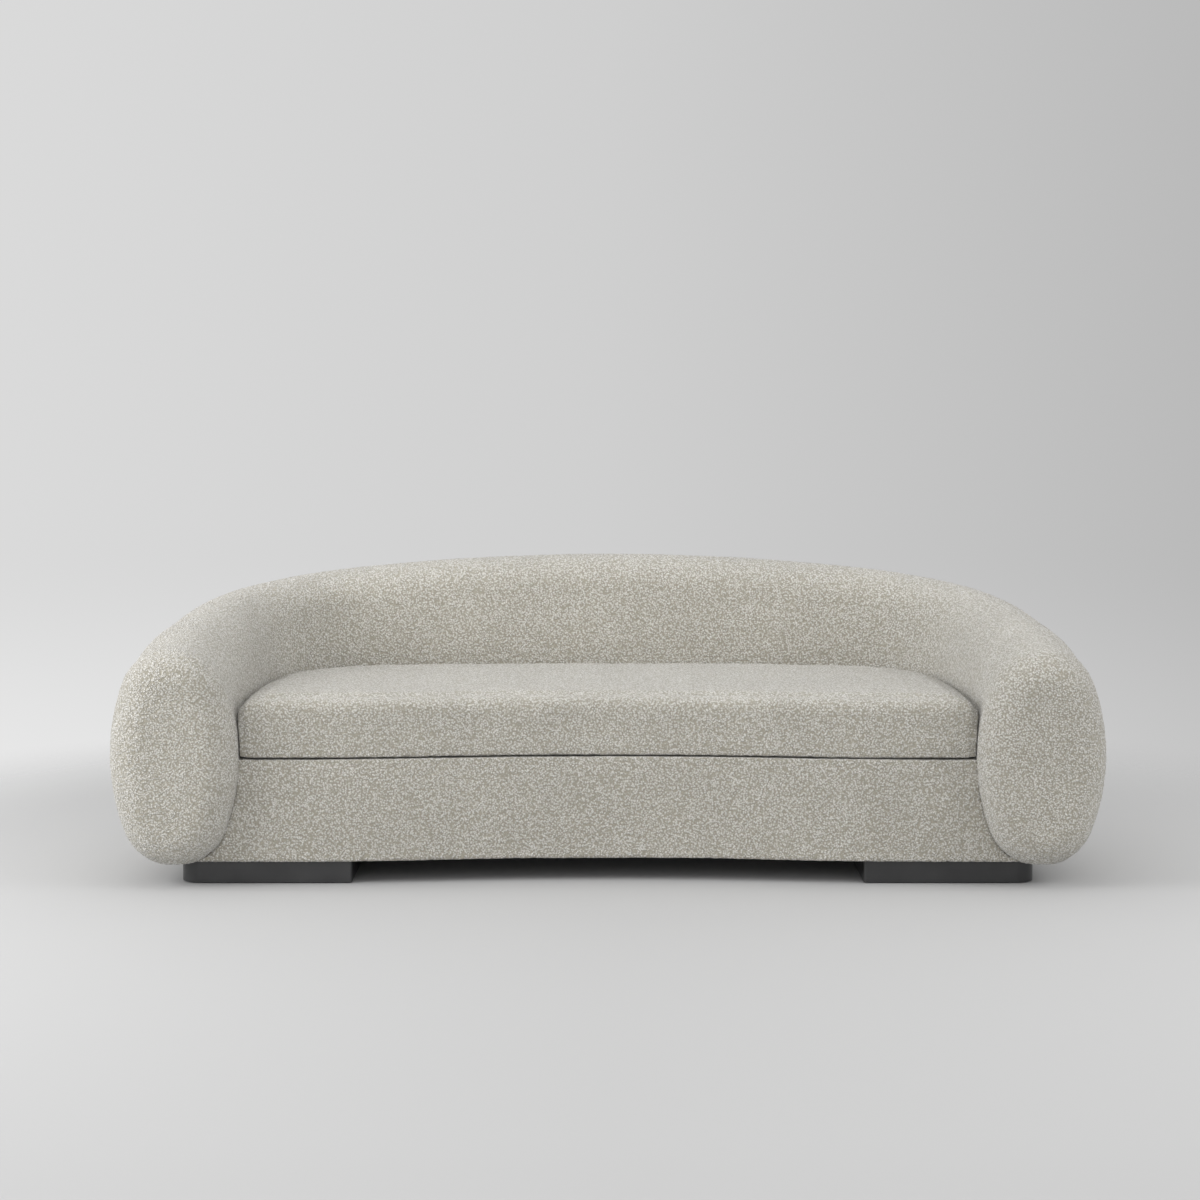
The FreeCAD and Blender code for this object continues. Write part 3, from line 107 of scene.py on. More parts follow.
class NodeGraph:
    """A node tree, with short ways to add and join nodes."""

    def __init__(self, tree: bpy.types.NodeTree) -> None:
        """Work on this tree.

        Args:
            tree: The node tree of a world or a material.
        """
        self.tree = tree

    def put(self, socket: bpy.types.NodeSocket, value: object) -> None:
        """Link a socket to another one, or set it to a plain value.

        Args:
            socket: The input socket.
            value: A socket, a number, a colour or a vector.
        """
        if isinstance(value, bpy.types.NodeSocket):
            self.tree.links.new(value, socket)
        elif isinstance(value, tuple) and len(value) == 3 and socket.type == "RGBA":
            socket.default_value = (*value, 1.0)
        else:
            socket.default_value = value

    def add(self, kind: str, inputs: dict[str | int, object], **options: object) -> bpy.types.Node:
        """Add a node.

        Args:
            kind: Blender's name of the node.
            inputs: Values or sockets for its inputs, by name or number.
            **options: Settings of the node itself.

        Returns:
            The new node.
        """
        node = self.tree.nodes.new(kind)
        for option, value in options.items():
            setattr(node, option, value)
        for key, value in inputs.items():
            self.put(node.inputs[key], value)
        return node

    def math(self, operation: str, first: object, second: object = 0.0) -> bpy.types.NodeSocket:
        """Join two values by one operation."""
        node = self.add("ShaderNodeMath", {0: first, 1: second}, operation=operation)
        return node.outputs[0]

    def shifted(self, vector: object, offset: object, operation: str = "ADD") -> bpy.types.NodeSocket:
        """Join two vectors by one operation."""
        node = self.add("ShaderNodeVectorMath", {0: vector, 1: offset}, operation=operation)
        return node.outputs[0]

    def stretched(self, vector: object, scale: Colour) -> bpy.types.NodeSocket:
        """Vector multiplied axis by axis."""
        return self.shifted(vector, scale, "MULTIPLY")

    def noise(self, vector: object, scale: float, detail: float = 2.0) -> bpy.types.Node:
        """Soft random pattern, with scale in cycles a metre."""
        return self.add("ShaderNodeTexNoise", {"Vector": vector, "Scale": scale, "Detail": detail})

    def cells(self, vector: object, scale: float, feature: str = "F1") -> bpy.types.Node:
        """Cell pattern, with scale in cells a metre."""
        return self.add("ShaderNodeTexVoronoi", {"Vector": vector, "Scale": scale}, feature=feature)

    def span(
        self,
        value: object,
        low: float,
        high: float,
        to_low: float = 0.0,
        to_high: float = 1.0,
        easing: str = "LINEAR",
    ) -> bpy.types.NodeSocket:
        """Value moved from one range to another, clamped.

        Args:
            value: The value or socket.
            low: Start of the value's range.
            high: End of the value's range.
            to_low: What the start becomes.
            to_high: What the end becomes.
            easing: Blender's name of the way between the two.

        Returns:
            The result's socket.
        """
        inputs = {
            "Value": value,
            "From Min": low,
            "From Max": high,
            "To Min": to_low,
            "To Max": to_high,
        }
        return self.add("ShaderNodeMapRange", inputs, interpolation_type=easing).outputs["Result"]

    def ramp(self, factor: object, stops: Sequence[tuple[float, Colour]]) -> bpy.types.NodeSocket:
        """Colour that follows a factor through some stops.

        Args:
            factor: Value from 0 to 1.
            stops: Places and colours, in order.

        Returns:
            The colour's socket.
        """
        node = self.add("ShaderNodeValToRGB", {"Fac": factor})
        elements = node.color_ramp.elements
        while len(elements) < len(stops):
            elements.new(1.0)
        for element, (position, colour) in zip(elements, stops):
            element.position = position
            element.color = (*colour, 1.0)
        return node.outputs["Color"]

    def grey(self, value: object) -> bpy.types.NodeSocket:
        """Grey of this brightness."""
        return self.add("ShaderNodeCombineColor", {0: value, 1: value, 2: value}).outputs[0]

    def shown(self) -> bpy.types.NodeSocket:
        """1 for what the camera sees, itself or in a reflection, and 0 for other rays."""
        rays = self.add("ShaderNodeLightPath", {})
        return self.math("MAXIMUM", rays.outputs["Is Camera Ray"], rays.outputs["Is Glossy Ray"])

    def blended(
        self, factor: object, first: object, second: object, mode: str = "MIX"
    ) -> bpy.types.NodeSocket:
        """Two colours mixed.

        Args:
            factor: Share of the second colour.
            first: First colour or socket.
            second: Second colour or socket.
            mode: Blender's blend mode.

        Returns:
            The colour's socket.
        """
        node = self.add("ShaderNodeMix", {}, data_type="RGBA", blend_type=mode)
        self.put(node.inputs[0], factor)
        self.put(node.inputs[6], first)
        self.put(node.inputs[7], second)
        return node.outputs[2]

    def bump(self, height: object, distance: float, strength: float = 1.0) -> bpy.types.NodeSocket:
        """Shading relief from a height, with its distance in metres."""
        inputs = {"Height": height, "Distance": distance, "Strength": strength}
        return self.add("ShaderNodeBump", inputs).outputs["Normal"]


class MaterialGraph(NodeGraph):
    """A material's node tree round its Principled shader."""

    def __init__(self, name: str) -> None:
        """Start a material with a bare shader.

        Args:
            name: The material's name.
        """
        self.material = bpy.data.materials.new(name)
        self.material.use_nodes = True
        super().__init__(self.material.node_tree)
        self.shader = self.tree.nodes["Principled BSDF"]
        self.place = self.add("ShaderNodeTexCoord", {}).outputs["Object"]

    def finish(self, **inputs: object) -> bpy.types.Material:
        """Set the shader's inputs by name, with _ for a space, and give the material."""
        for key, value in inputs.items():
            self.put(self.shader.inputs[key.replace("_", " ")], value)
        return self.material


class Finish(ABC):
    """What a surface is made of."""

    @abstractmethod
    def build(self, name: str) -> bpy.types.Material:
        """Make the material under this name."""


@dataclass(frozen=True)
class Boucle(Finish):
    """Looped wool cloth: random curls with painted shade in the gaps between them and painted
    highlights on their tips.
    """

    # The darkest colour is painted shade in the gaps between the curls and the palest is a painted
    # highlight on their tips; the middle one is the wool's own colour.
    gap_painted_shade: Colour = (0.400, 0.373, 0.308)
    body: Colour = (0.725, 0.705, 0.655)
    tip_painted_highlight: Colour = (0.905, 0.900, 0.880)
    curls_per_metre: float = 205.0
    loops_per_metre: float = 500.0
    fibres_per_metre: float = 1400.0
    curl_share: float = 0.66
    loop_share: float = 0.24
    fibre_share: float = 0.10
    wander: float = 0.0038
    relief: float = 0.0062
    patches_per_metre: float = 5.0
    palest_patch: float = 1.03
    darkest_patch: float = 0.955

    def build(self, name: str) -> bpy.types.Material:
        """Curls, finer loops and fibres in one height that also tints the wool, with painted shade
        where it is low and a painted highlight where it is high.
        """
        graph = MaterialGraph(name)
        drift = graph.noise(graph.place, self.curls_per_metre * 0.8, 1.0).outputs["Color"]
        centred = graph.shifted(drift, (0.5, 0.5, 0.5), "SUBTRACT")
        wandering = graph.shifted(graph.place, graph.stretched(centred, (self.wander,) * 3))
        curls = graph.cells(wandering, self.curls_per_metre).outputs["Distance"]
        curl_height = graph.span(curls, 0.0, 0.75, 1.0, 0.0)
        loops = graph.cells(wandering, self.loops_per_metre).outputs["Distance"]
        loop_height = graph.span(loops, 0.0, 0.8, 1.0, 0.0)
        fibres = graph.noise(graph.place, self.fibres_per_metre, 3.0).outputs["Fac"]
        coarse = graph.math(
            "ADD",
            graph.math("MULTIPLY", curl_height, self.curl_share),
            graph.math("MULTIPLY", loop_height, self.loop_share),
        )
        height = graph.math("ADD", coarse, graph.math("MULTIPLY", fibres, self.fibre_share))
        # The ramp paints shade into the gaps and highlights onto the curls' tips.
        wool = graph.ramp(height, [(0.25, self.gap_painted_shade), (0.53, self.body), (0.82, self.tip_painted_highlight)])
        patches = graph.noise(graph.place, self.patches_per_metre, 3.0).outputs["Fac"]
        shade = graph.span(patches, 0.3, 0.7, self.darkest_patch, self.palest_patch)
        tinted = graph.blended(1.0, wool, graph.grey(shade), "MULTIPLY")
        return graph.finish(
            Base_Color=tinted,
            Roughness=0.95,
            Specular_IOR_Level=0.15,
            Sheen_Weight=0.55,
            Sheen_Roughness=0.45,
            Sheen_Tint=(0.94, 0.95, 0.98),
            Normal=graph.bump(height, self.relief),
        )


@dataclass(frozen=True)
class SatinLacquer(Finish):
    """Sprayed black lacquer: nearly even, with a faint orange peel."""

    colour: Colour = (0.0200, 0.0200, 0.0208)
    worn: Colour = (0.030, 0.030, 0.031)

    def build(self, name: str) -> bpy.types.Material:
        """Satin black with slight clouding in its gloss."""
        graph = MaterialGraph(name)
        clouds = graph.noise(graph.place, 14.0, 4.0).outputs["Fac"]
        colour = graph.blended(graph.span(clouds, 0.35, 0.75), self.colour, self.worn)
        peel = graph.noise(graph.place, 420.0, 1.0).outputs["Fac"]
        dust = graph.noise(graph.place, 1600.0, 2.0).outputs["Fac"]
        surface = graph.math("ADD", peel, graph.math("MULTIPLY", dust, 0.25))
        return graph.finish(
            Base_Color=colour,
            Roughness=graph.span(clouds, 0.3, 0.7, 0.30, 0.42),
            Specular_IOR_Level=0.5,
            Coat_Weight=0.15,
            Coat_Roughness=0.18,
            Normal=graph.bump(surface, 0.00006, 0.6),
        )


@dataclass(frozen=True)
class Wood(Finish):
    """Bare wood with its grain along one axis."""

    pale: Colour
    dark: Colour
    along: Colour = (4.0, 70.0, 70.0)
    plies_per_metre: float = 0.0
    pores_per_grain: float = 9.0

    def build(self, name: str) -> bpy.types.Material:
        """Stretched grain, fine pores and, on plywood, its plies."""
        graph = MaterialGraph(name)
        lengthways = graph.stretched(graph.place, self.along)
        grain = graph.noise(lengthways, 1.0, 6.0).outputs["Fac"]
        colour = graph.blended(graph.span(grain, 0.35, 0.68), self.pale, self.dark)
        if self.plies_per_metre:
            levels = graph.stretched(graph.place, (0.0, 0.0, self.plies_per_metre))
            inputs = {"Vector": levels, "Scale": 1.0, "Distortion": 0.6}
            plies = graph.add("ShaderNodeTexWave", inputs, bands_direction="Z")
            shade = graph.span(plies.outputs["Fac"], 0.2, 0.8, 0.0, 0.35)
            colour = graph.blended(shade, colour, self.dark)
        finer = graph.stretched(lengthways, (self.pores_per_grain,) * 3)
        pores = graph.noise(finer, 1.0, 3.0).outputs["Fac"]
        return graph.finish(
            Base_Color=colour,
            Roughness=graph.span(grain, 0.3, 0.7, 0.52, 0.70),
            Normal=graph.bump(pores, 0.0003, 0.7),
        )


@dataclass(frozen=True)
class Woven(Finish):
    """Plain woven cloth or strap, with its threads along X and Y."""

    colour: Colour
    shade: Colour
    threads_per_metre: float = 700.0
    relief: float = 0.0004

    def build(self, name: str) -> bpy.types.Material:
        """Two sets of threads, the higher one showing."""
        graph = MaterialGraph(name)
        inputs = {"Vector": graph.place, "Scale": self.threads_per_metre / 20, "Distortion": 0.4}
        warp = graph.add("ShaderNodeTexWave", inputs, bands_direction="X").outputs["Fac"]
        weft = graph.add("ShaderNodeTexWave", inputs, bands_direction="Y").outputs["Fac"]
        height = graph.math("MAXIMUM", warp, weft)
        slubs = graph.noise(graph.place, 60.0, 3.0).outputs["Fac"]
        mixed = graph.math("MULTIPLY", height, graph.span(slubs, 0.3, 0.7, 0.8, 1.0))
        return graph.finish(
            Base_Color=graph.blended(mixed, self.shade, self.colour),
            Roughness=0.9,
            Specular_IOR_Level=0.2,
            Normal=graph.bump(height, self.relief),
        )


@dataclass(frozen=True)
class Fleece(Finish):
    """Felt, wadding or foam: a random matt mass of fibres or pores."""

    colour: Colour
    shade: Colour
    grains_per_metre: float = 600.0
    relief: float = 0.0006

    def build(self, name: str) -> bpy.types.Material:
        """Fine cells with a soft cloudiness."""
        graph = MaterialGraph(name)
        grains = graph.cells(graph.place, self.grains_per_metre).outputs["Distance"]
        fluff = graph.noise(graph.place, self.grains_per_metre * 2.3, 3.0).outputs["Fac"]
        height = graph.math("ADD", grains, fluff)
        clouds = graph.noise(graph.place, 30.0, 3.0).outputs["Fac"]
        depth = graph.span(height, 0.4, 1.3)
        factor = graph.math("MULTIPLY", depth, graph.span(clouds, 0.2, 0.8, 0.7, 1.0))
        return graph.finish(
            Base_Color=graph.blended(factor, self.colour, self.shade),
            Roughness=0.96,
            Specular_IOR_Level=0.1,
            Normal=graph.bump(height, self.relief),
        )


@dataclass(frozen=True)
class Zinc(Finish):
    """Zinc plated steel with a faint spangle."""

    colour: Colour = (0.58, 0.60, 0.61)
    shade: Colour = (0.40, 0.42, 0.44)

    def build(self, name: str) -> bpy.types.Material:
        """Metal with cell-like spangles."""
        graph = MaterialGraph(name)
        spangle = graph.cells(graph.place, 260.0).outputs["Distance"]
        wear = graph.noise(graph.place, 900.0, 3.0).outputs["Fac"]
        return graph.finish(
            Base_Color=graph.blended(graph.span(spangle, 0.1, 0.7), self.colour, self.shade),
            Metallic=1.0,
            Roughness=graph.span(wear, 0.3, 0.7, 0.28, 0.45),
            Normal=graph.bump(wear, 0.00008, 0.5),
        )


@dataclass(frozen=True)
class CoilNylon(Finish):
    """Nylon coil zip: woven tape with its row of coils along X."""

    colour: Colour = (0.52, 0.49, 0.43)
    shade: Colour = (0.30, 0.28, 0.24)
    coils_per_metre: float = 420.0

    def build(self, name: str) -> bpy.types.Material:
        """Bands across the zip."""
        graph = MaterialGraph(name)
        inputs = {"Vector": graph.place, "Scale": self.coils_per_metre / 20}
        coils = graph.add("ShaderNodeTexWave", inputs, bands_direction="X").outputs["Fac"]
        tone = graph.noise(graph.place, 90.0, 2.0).outputs["Fac"]
        lit = graph.math("MULTIPLY", coils, graph.span(tone, 0.2, 0.8, 0.8, 1.0))
        return graph.finish(
            Base_Color=graph.blended(lit, self.shade, self.colour),
            Roughness=0.55,
            Normal=graph.bump(coils, 0.0006),
        )


# What each slot of the record looks like.
FINISHES: dict[Slot, Finish] = {
    Slot.BOUCLE: Boucle(),
    Slot.FOAM: Fleece((0.82, 0.76, 0.58), (0.62, 0.56, 0.40), 520.0),
    Slot.WADDING: Fleece((0.88, 0.88, 0.87), (0.70, 0.70, 0.70), 260.0, 0.0015),
    Slot.FELT: Fleece((0.26, 0.25, 0.24), (0.16, 0.155, 0.15), 900.0),
    Slot.DECK_CLOTH: Woven((0.50, 0.47, 0.41), (0.33, 0.31, 0.27), 640.0),
    Slot.BLACK_CLOTH: Fleece((0.016, 0.016, 0.017), (0.006, 0.006, 0.007), 420.0, 0.0003),
    Slot.WEBBING: Woven((0.30, 0.24, 0.15), (0.16, 0.13, 0.08), 300.0, 0.0008),
    Slot.PLYWOOD: Wood((0.58, 0.42, 0.24), (0.42, 0.28, 0.14), (30.0, 30.0, 5.0), 240.0),
    Slot.BEECH: Wood((0.50, 0.30, 0.16), (0.36, 0.20, 0.10)),
    Slot.HARDBOARD: Wood((0.14, 0.068, 0.030), (0.095, 0.045, 0.020), (160.0,) * 3),
    Slot.BLACK_LACQUER: SatinLacquer(),
    Slot.ZINC_STEEL: Zinc(),
    Slot.ZIP_NYLON: CoilNylon(),
}

# Words in a CAD node's name that tell its slot; the first slot that fits is taken.
SLOT_WORDS: dict[Slot, tuple[str, ...]] = {
    Slot.PLYWOOD: ("former_", "base_board_", "base_splice", "front_plate_"),
    Slot.BEECH: ("_rail", "stretcher", "corner_block"),
    Slot.HARDBOARD: ("_liner", "front_hardboard"),
    Slot.WEBBING: ("webbing_",),
    Slot.FELT: ("felt_glides", "deck_pad"),
    Slot.ZINC_STEEL: ("bolts", "tee_nuts", "frame_screws"),
    Slot.ZIP_NYLON: ("zip_",),
    Slot.BLACK_LACQUER: ("plinth_",),
    Slot.FOAM: ("foam", "apron_pad", "cushion_core"),
    Slot.WADDING: ("cushion_wrap",),
    Slot.DECK_CLOTH: ("deck_cloth",),
    Slot.BLACK_CLOTH: ("bottom_cloth",),
    Slot.BOUCLE: ("cover",),
}


class Wardrobe:
    """Keeps one material for each slot."""

    def __init__(self) -> None:
        """Start with no materials made."""
        self.made: dict[Slot, bpy.types.Material] = {}

    def of(self, slot: Slot) -> bpy.types.Material:
        """The slot's material, made when first asked for."""
        if slot not in self.made:
            self.made[slot] = FINISHES[slot].build(slot.value)
        return self.made[slot]

    def dress(self, piece: bpy.types.Object, slot: Slot) -> None:
        """Give a piece or a CAD node its one material.

        Args:
            piece: The object to dress.
            slot: The record's slot that it takes.
        """
        piece.data.materials.clear()
        piece.data.materials.append(self.of(slot))

    def dress_nodes(self, nodes: dict[str, bpy.types.Object]) -> None:
        """Dress each CAD node by the words in its name."""
        for name, node in nodes.items():
            slots = (
                slot for slot, words in SLOT_WORDS.items() if any(word in name for word in words)
            )
            self.dress(node, next(slots))


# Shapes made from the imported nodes.

MERGE_DISTANCE = 1e-5
TINY = 1e-9


def merged(node: bpy.types.Object) -> bmesh.types.BMesh:
    """Copy of a CAD node's mesh with its triangles joined."""
    mesh = bmesh.new()
    mesh.from_mesh(node.data)
    bmesh.ops.remove_doubles(mesh, verts=mesh.verts, dist=MERGE_DISTANCE)
    return mesh


def smooth_run(
    start: bmesh.types.BMFace, left: set[bmesh.types.BMFace], crease: float
) -> set[bmesh.types.BMFace]:
    """Faces reached from one face without crossing a crease.

    Args:
        start: The face to start from.
        left: Faces not yet reached; reached ones leave it.
        crease: Angle in radians that stops the run.

    Returns:
        The faces reached.
    """
    run = {start}
    waiting = [start]
    while waiting:
        for edge in waiting.pop().edges:
            if len(edge.link_faces) == 2 and edge.calc_face_angle(0.0) < crease:
                for face in edge.link_faces:
                    if face in left:
                        left.discard(face)
                        run.add(face)
                        waiting.append(face)
    return run


def keep_outer_skin(mesh: bmesh.types.BMesh, crease: float) -> None:
    """Leave only the largest smooth run of faces.

    Args:
        mesh: The mesh to cut down.
        crease: Angle in radians that ends the skin.
    """
    left = set(mesh.faces)
    runs = []
    while left:
        runs.append(smooth_run(left.pop(), left, crease))
    skin = max(runs, key=lambda run: sum(face.calc_area() for face in run))
    rest = [face for face in mesh.faces if face not in skin]
    bmesh.ops.delete(mesh, geom=rest, context="FACES")


def fill_openings(mesh: bmesh.types.BMesh) -> None:
    """Close every hole of a skin."""
    rims = [edge for edge in mesh.edges if edge.is_boundary]
    bmesh.ops.holes_fill(mesh, edges=rims, sides=0)
    bmesh.ops.triangulate(mesh, faces=[face for face in mesh.faces if len(face.verts) > 4])
    bmesh.ops.recalc_face_normals(mesh, faces=mesh.faces)


def new_piece(name: str, mesh: bmesh.types.BMesh) -> bpy.types.Object:
    """Object with this mesh, linked to the scene.

    Args:
        name: The object's name.
        mesh: Its shape, which is freed.

    Returns:
        The new object.
    """
    data = bpy.data.meshes.new(name)
    mesh.to_mesh(data)
    mesh.free()
    piece = bpy.data.objects.new(name, data)
    bpy.context.scene.collection.objects.link(piece)
    return piece


def settle(piece: bpy.types.Object) -> None:
    """Apply all modifiers of a piece to its mesh."""
    bpy.context.view_layer.update()
    shaped = piece.evaluated_get(bpy.context.evaluated_depsgraph_get())
    data = bpy.data.meshes.new_from_object(shaped)
    piece.modifiers.clear()
    old = piece.data
    piece.data = data
    bpy.data.meshes.remove(old)
    data.name = piece.name


def smooth_shaded(piece: bpy.types.Object) -> None:
    """Shade every face of a piece smooth."""
    piece.data.polygons.foreach_set("use_smooth", [True] * len(piece.data.polygons))
    piece.data.update()


def even_mesh(piece: bpy.types.Object, voxel: float, smoothing: int = 2) -> None:
    """Replace a closed mesh by an even one.

    Args:
        piece: The piece to change.
        voxel: Size of the new faces in metres.
        smoothing: Rounds of smoothing that take out the voxels' steps.
    """
    remesh = piece.modifiers.new("even_mesh", "REMESH")
    remesh.mode = "VOXEL"
    remesh.voxel_size = voxel
    smooth = piece.modifiers.new("even_out", "SMOOTH")
    smooth.factor = 0.5
    smooth.iterations = smoothing
    settle(piece)


def points_of(piece: bpy.types.Object) -> np.ndarray:
    """Vertex places of a piece as an array."""
    places = np.empty(len(piece.data.vertices) * 3, np.float32)
    piece.data.vertices.foreach_get("co", places)
    return places.reshape(-1, 3)


def normals_of(piece: bpy.types.Object) -> np.ndarray:
    """Vertex normals of a piece as an array."""
    normals = np.empty(len(piece.data.vertices) * 3, np.float32)
    piece.data.vertex_normals.foreach_get("vector", normals)
    return normals.reshape(-1, 3)


def put_points(piece: bpy.types.Object, places: np.ndarray) -> None:
    """Move a piece's vertices to new places."""
    piece.data.vertices.foreach_set("co", places.astype(np.float32).ravel())
    piece.data.update()


def tighten(
    piece: bpy.types.Object, edge: float, towards: float, old: float, new: float
) -> None:
    """Turn the wide round along a level edge into a narrower one.

    Args:
        piece: A dense mesh whose sides stand upright beyond the round.
        edge: Height of the flat face that the round runs into.
        towards: 1 if the sides rise from that face, -1 if they hang from it.
        old: Radius of the round now, in metres.
        new: Radius wanted, in metres.
    """
    places = points_of(piece)
    outward = normals_of(piece)
    outward[:, 2] = 0.0
    length = np.linalg.norm(outward, axis=1, keepdims=True)
    climb = (places[:, 2] - edge) * towards
    on_round = (climb < old) & (length[:, 0] > 0.05)
    push = round_inset(climb, old) - round_inset(climb, new)
    outward /= np.maximum(length, TINY)
    places[on_round] += outward[on_round] * push[on_round, None]
    put_points(piece, places)


def round_inset(climb: np.ndarray, radius: float) -> np.ndarray:
    """How far a quarter round lies inside its side, at heights above its flat face."""
    short = radius - np.clip(climb, 0.0, radius)
    return radius - np.sqrt(np.maximum(radius**2 - short**2, 0.0))


@dataclass(frozen=True)
class Pile:
    """Relief of the cloth's curls and of the stuffing under it, in metres."""

    curl_size: float = 0.0072
    curl_height: float = 0.0030
    tuft_size: float = 0.016
    tuft_height: float = 0.0010
    swell_size: float = 0.22
    swell_height: float = 0.0030

    def raise_on(self, piece: bpy.types.Object) -> None:
        """Push a dense mesh in and out along its normals."""
        self.layer(piece, "swell", "CLOUDS", self.swell_size, self.swell_height, 0.5)
        self.layer(piece, "tufts", "CLOUDS", self.tuft_size, self.tuft_height, 0.5)
        self.layer(piece, "curls", "VORONOI", self.curl_size, -self.curl_height, 0.45)
        settle(piece)

    def layer(
        self,
        piece: bpy.types.Object,
        name: str,
        kind: str,
        size: float,
        height: float,
        middle: float,
    ) -> None:
        """One layer of relief.

        Args:
            piece: The piece to push.
            name: The layer's name.
            kind: Blender's name of the pattern.
            size: Size of the pattern's features.
            height: Distance from its lowest to its highest point.
            middle: Pattern value that stays where it is.
        """
        pattern = bpy.data.textures.new(f"{piece.name}_{name}", kind)
        pattern.noise_scale = size
        push = piece.modifiers.new(name, "DISPLACE")
        push.texture = pattern
        push.texture_coords = "LOCAL"
        push.strength = height
        push.mid_level = middle


@dataclass
class Upholstery(ABC):
    """A padded piece under boucle that stands for CAD nodes."""

    frame: Frame
    wardrobe: Wardrobe
    voxel: float = 0.0045
    pile: Pile = field(default_factory=Pile)
    crease: float = math.radians(50)
    body: Body = Body.FRAME
    fill: float = 0.85

    def node(self, name: str) -> bpy.types.Object:
        """A CAD node's object."""
        return self.frame["nodes"][name]

    @abstractmethod
    def shape(self) -> bpy.types.Object:
        """Make the piece's closed, even mesh."""

    @abstractmethod
    def stands_for(self) -> tuple[str, ...]:
        """Names of the CAD nodes that the piece replaces."""

    def build(self) -> bpy.types.Object:
        """Shape, relief, finish and place in the frame."""
        piece = self.shape()
        self.pile.raise_on(piece)
        self.trim(piece)
        smooth_shaded(piece)
        self.wardrobe.dress(piece, Slot.BOUCLE)
        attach(piece, self.body.value)
        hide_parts(*self.stands_for())
        return piece

    def trim(self, piece: bpy.types.Object) -> None:
        """Keep the piece off what it rests on."""


@dataclass
class ArmsAndBack(Upholstery):
    """The one long tube that makes both arms and the back."""

    underside: float = 0.0552

    def shape(self) -> bpy.types.Object:
        """The cover's outer skin, closed underneath."""
        mesh = merged(self.node("arm_and_back_cover"))
        keep_outer_skin(mesh, self.crease)
        fill_openings(mesh)
        piece = new_piece("arms_and_back", mesh)
        even_mesh(piece, self.voxel)
        return piece

    def stands_for(self) -> tuple[str, ...]:
        """Cover and foam."""
        return ("arm_and_back_cover", "arm_foam_right", "arm_foam_left", "back_foam")

    def trim(self, piece: bpy.types.Object) -> None:
        """Keep the curls off the plinths."""
        places = points_of(piece)
        places[:, 2] = np.maximum(places[:, 2], self.underside)
        put_points(piece, places)


@dataclass
class Apron(Upholstery):
    """The front under the cushion, with its lip over the deck's edge."""

    underside: float = 0.0552
    tuck: float = 0.020
    seam_reach: float = 0.012
    flat_reach: float = 0.80
    margin: float = 0.001
    cad_round: float = 0.018
    edge_round: float = 0.003

    def shape(self) -> bpy.types.Object:
        """The cover's outer skin, tucked underneath and sewn against the arms."""
        mesh = merged(self.node("apron_cover"))
        keep_outer_skin(mesh, self.crease)
        low = [edge for edge in mesh.edges if edge.is_boundary and self.is_underneath(edge)]
        self.extend(mesh, low, Vector((0.0, self.tuck, 0.0)))
        for side in (1.0, -1.0):
            rim = [edge for edge in mesh.edges if edge.is_boundary]
            seam = [edge for edge in rim if self.is_beside_arm(edge, side)]
            self.extend(mesh, seam, Vector((side * self.seam_reach, 0.0, 0.0)))
        fill_openings(mesh)
        piece = new_piece("apron", mesh)
        even_mesh(piece, self.voxel)
        tighten(piece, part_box("apron_cover")[1].z, -1.0, self.cad_round, self.edge_round)
        return piece

    def extend(self, mesh: bmesh.types.BMesh, rim: list[bmesh.types.BMEdge], step: Vector) -> None:
        """Add a strip of faces beyond a rim.

        Args:
            mesh: The mesh to extend.
            rim: Boundary edges to start from.
            step: How far the strip reaches.
        """
        grown = bmesh.ops.extrude_edge_only(mesh, edges=rim)["geom"]
        far = [vert for vert in grown if isinstance(vert, bmesh.types.BMVert)]
        bmesh.ops.translate(mesh, verts=far, vec=step)

    def is_underneath(self, edge: bmesh.types.BMEdge) -> bool:
        """Does a rim edge lie at the underside?"""
        return max(vert.co.z for vert in edge.verts) < self.underside

    def is_beside_arm(self, edge: bmesh.types.BMEdge, side: float) -> bool:
        """Does a rim edge lie against the arm on one side?"""
        low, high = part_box("apron_cover")
        across = min(vert.co.x * side for vert in edge.verts) > self.flat_reach * high.x
        before_back = max(vert.co.y for vert in edge.verts) < high.y - self.margin
        above_bottom = max(vert.co.z for vert in edge.verts) > low.z + self.margin
        return across and before_back and above_bottom

    def stands_for(self) -> tuple[str, ...]:
        """Cover and pad."""
        return ("apron_cover", "apron_pad")

    def trim(self, piece: bpy.types.Object) -> None:
        """Keep the curls off the plinths and the cushion."""
        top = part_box("apron_cover")[1].z
        places = points_of(piece)
        places[:, 2] = np.clip(places[:, 2], self.underside, top)
        put_points(piece, places)


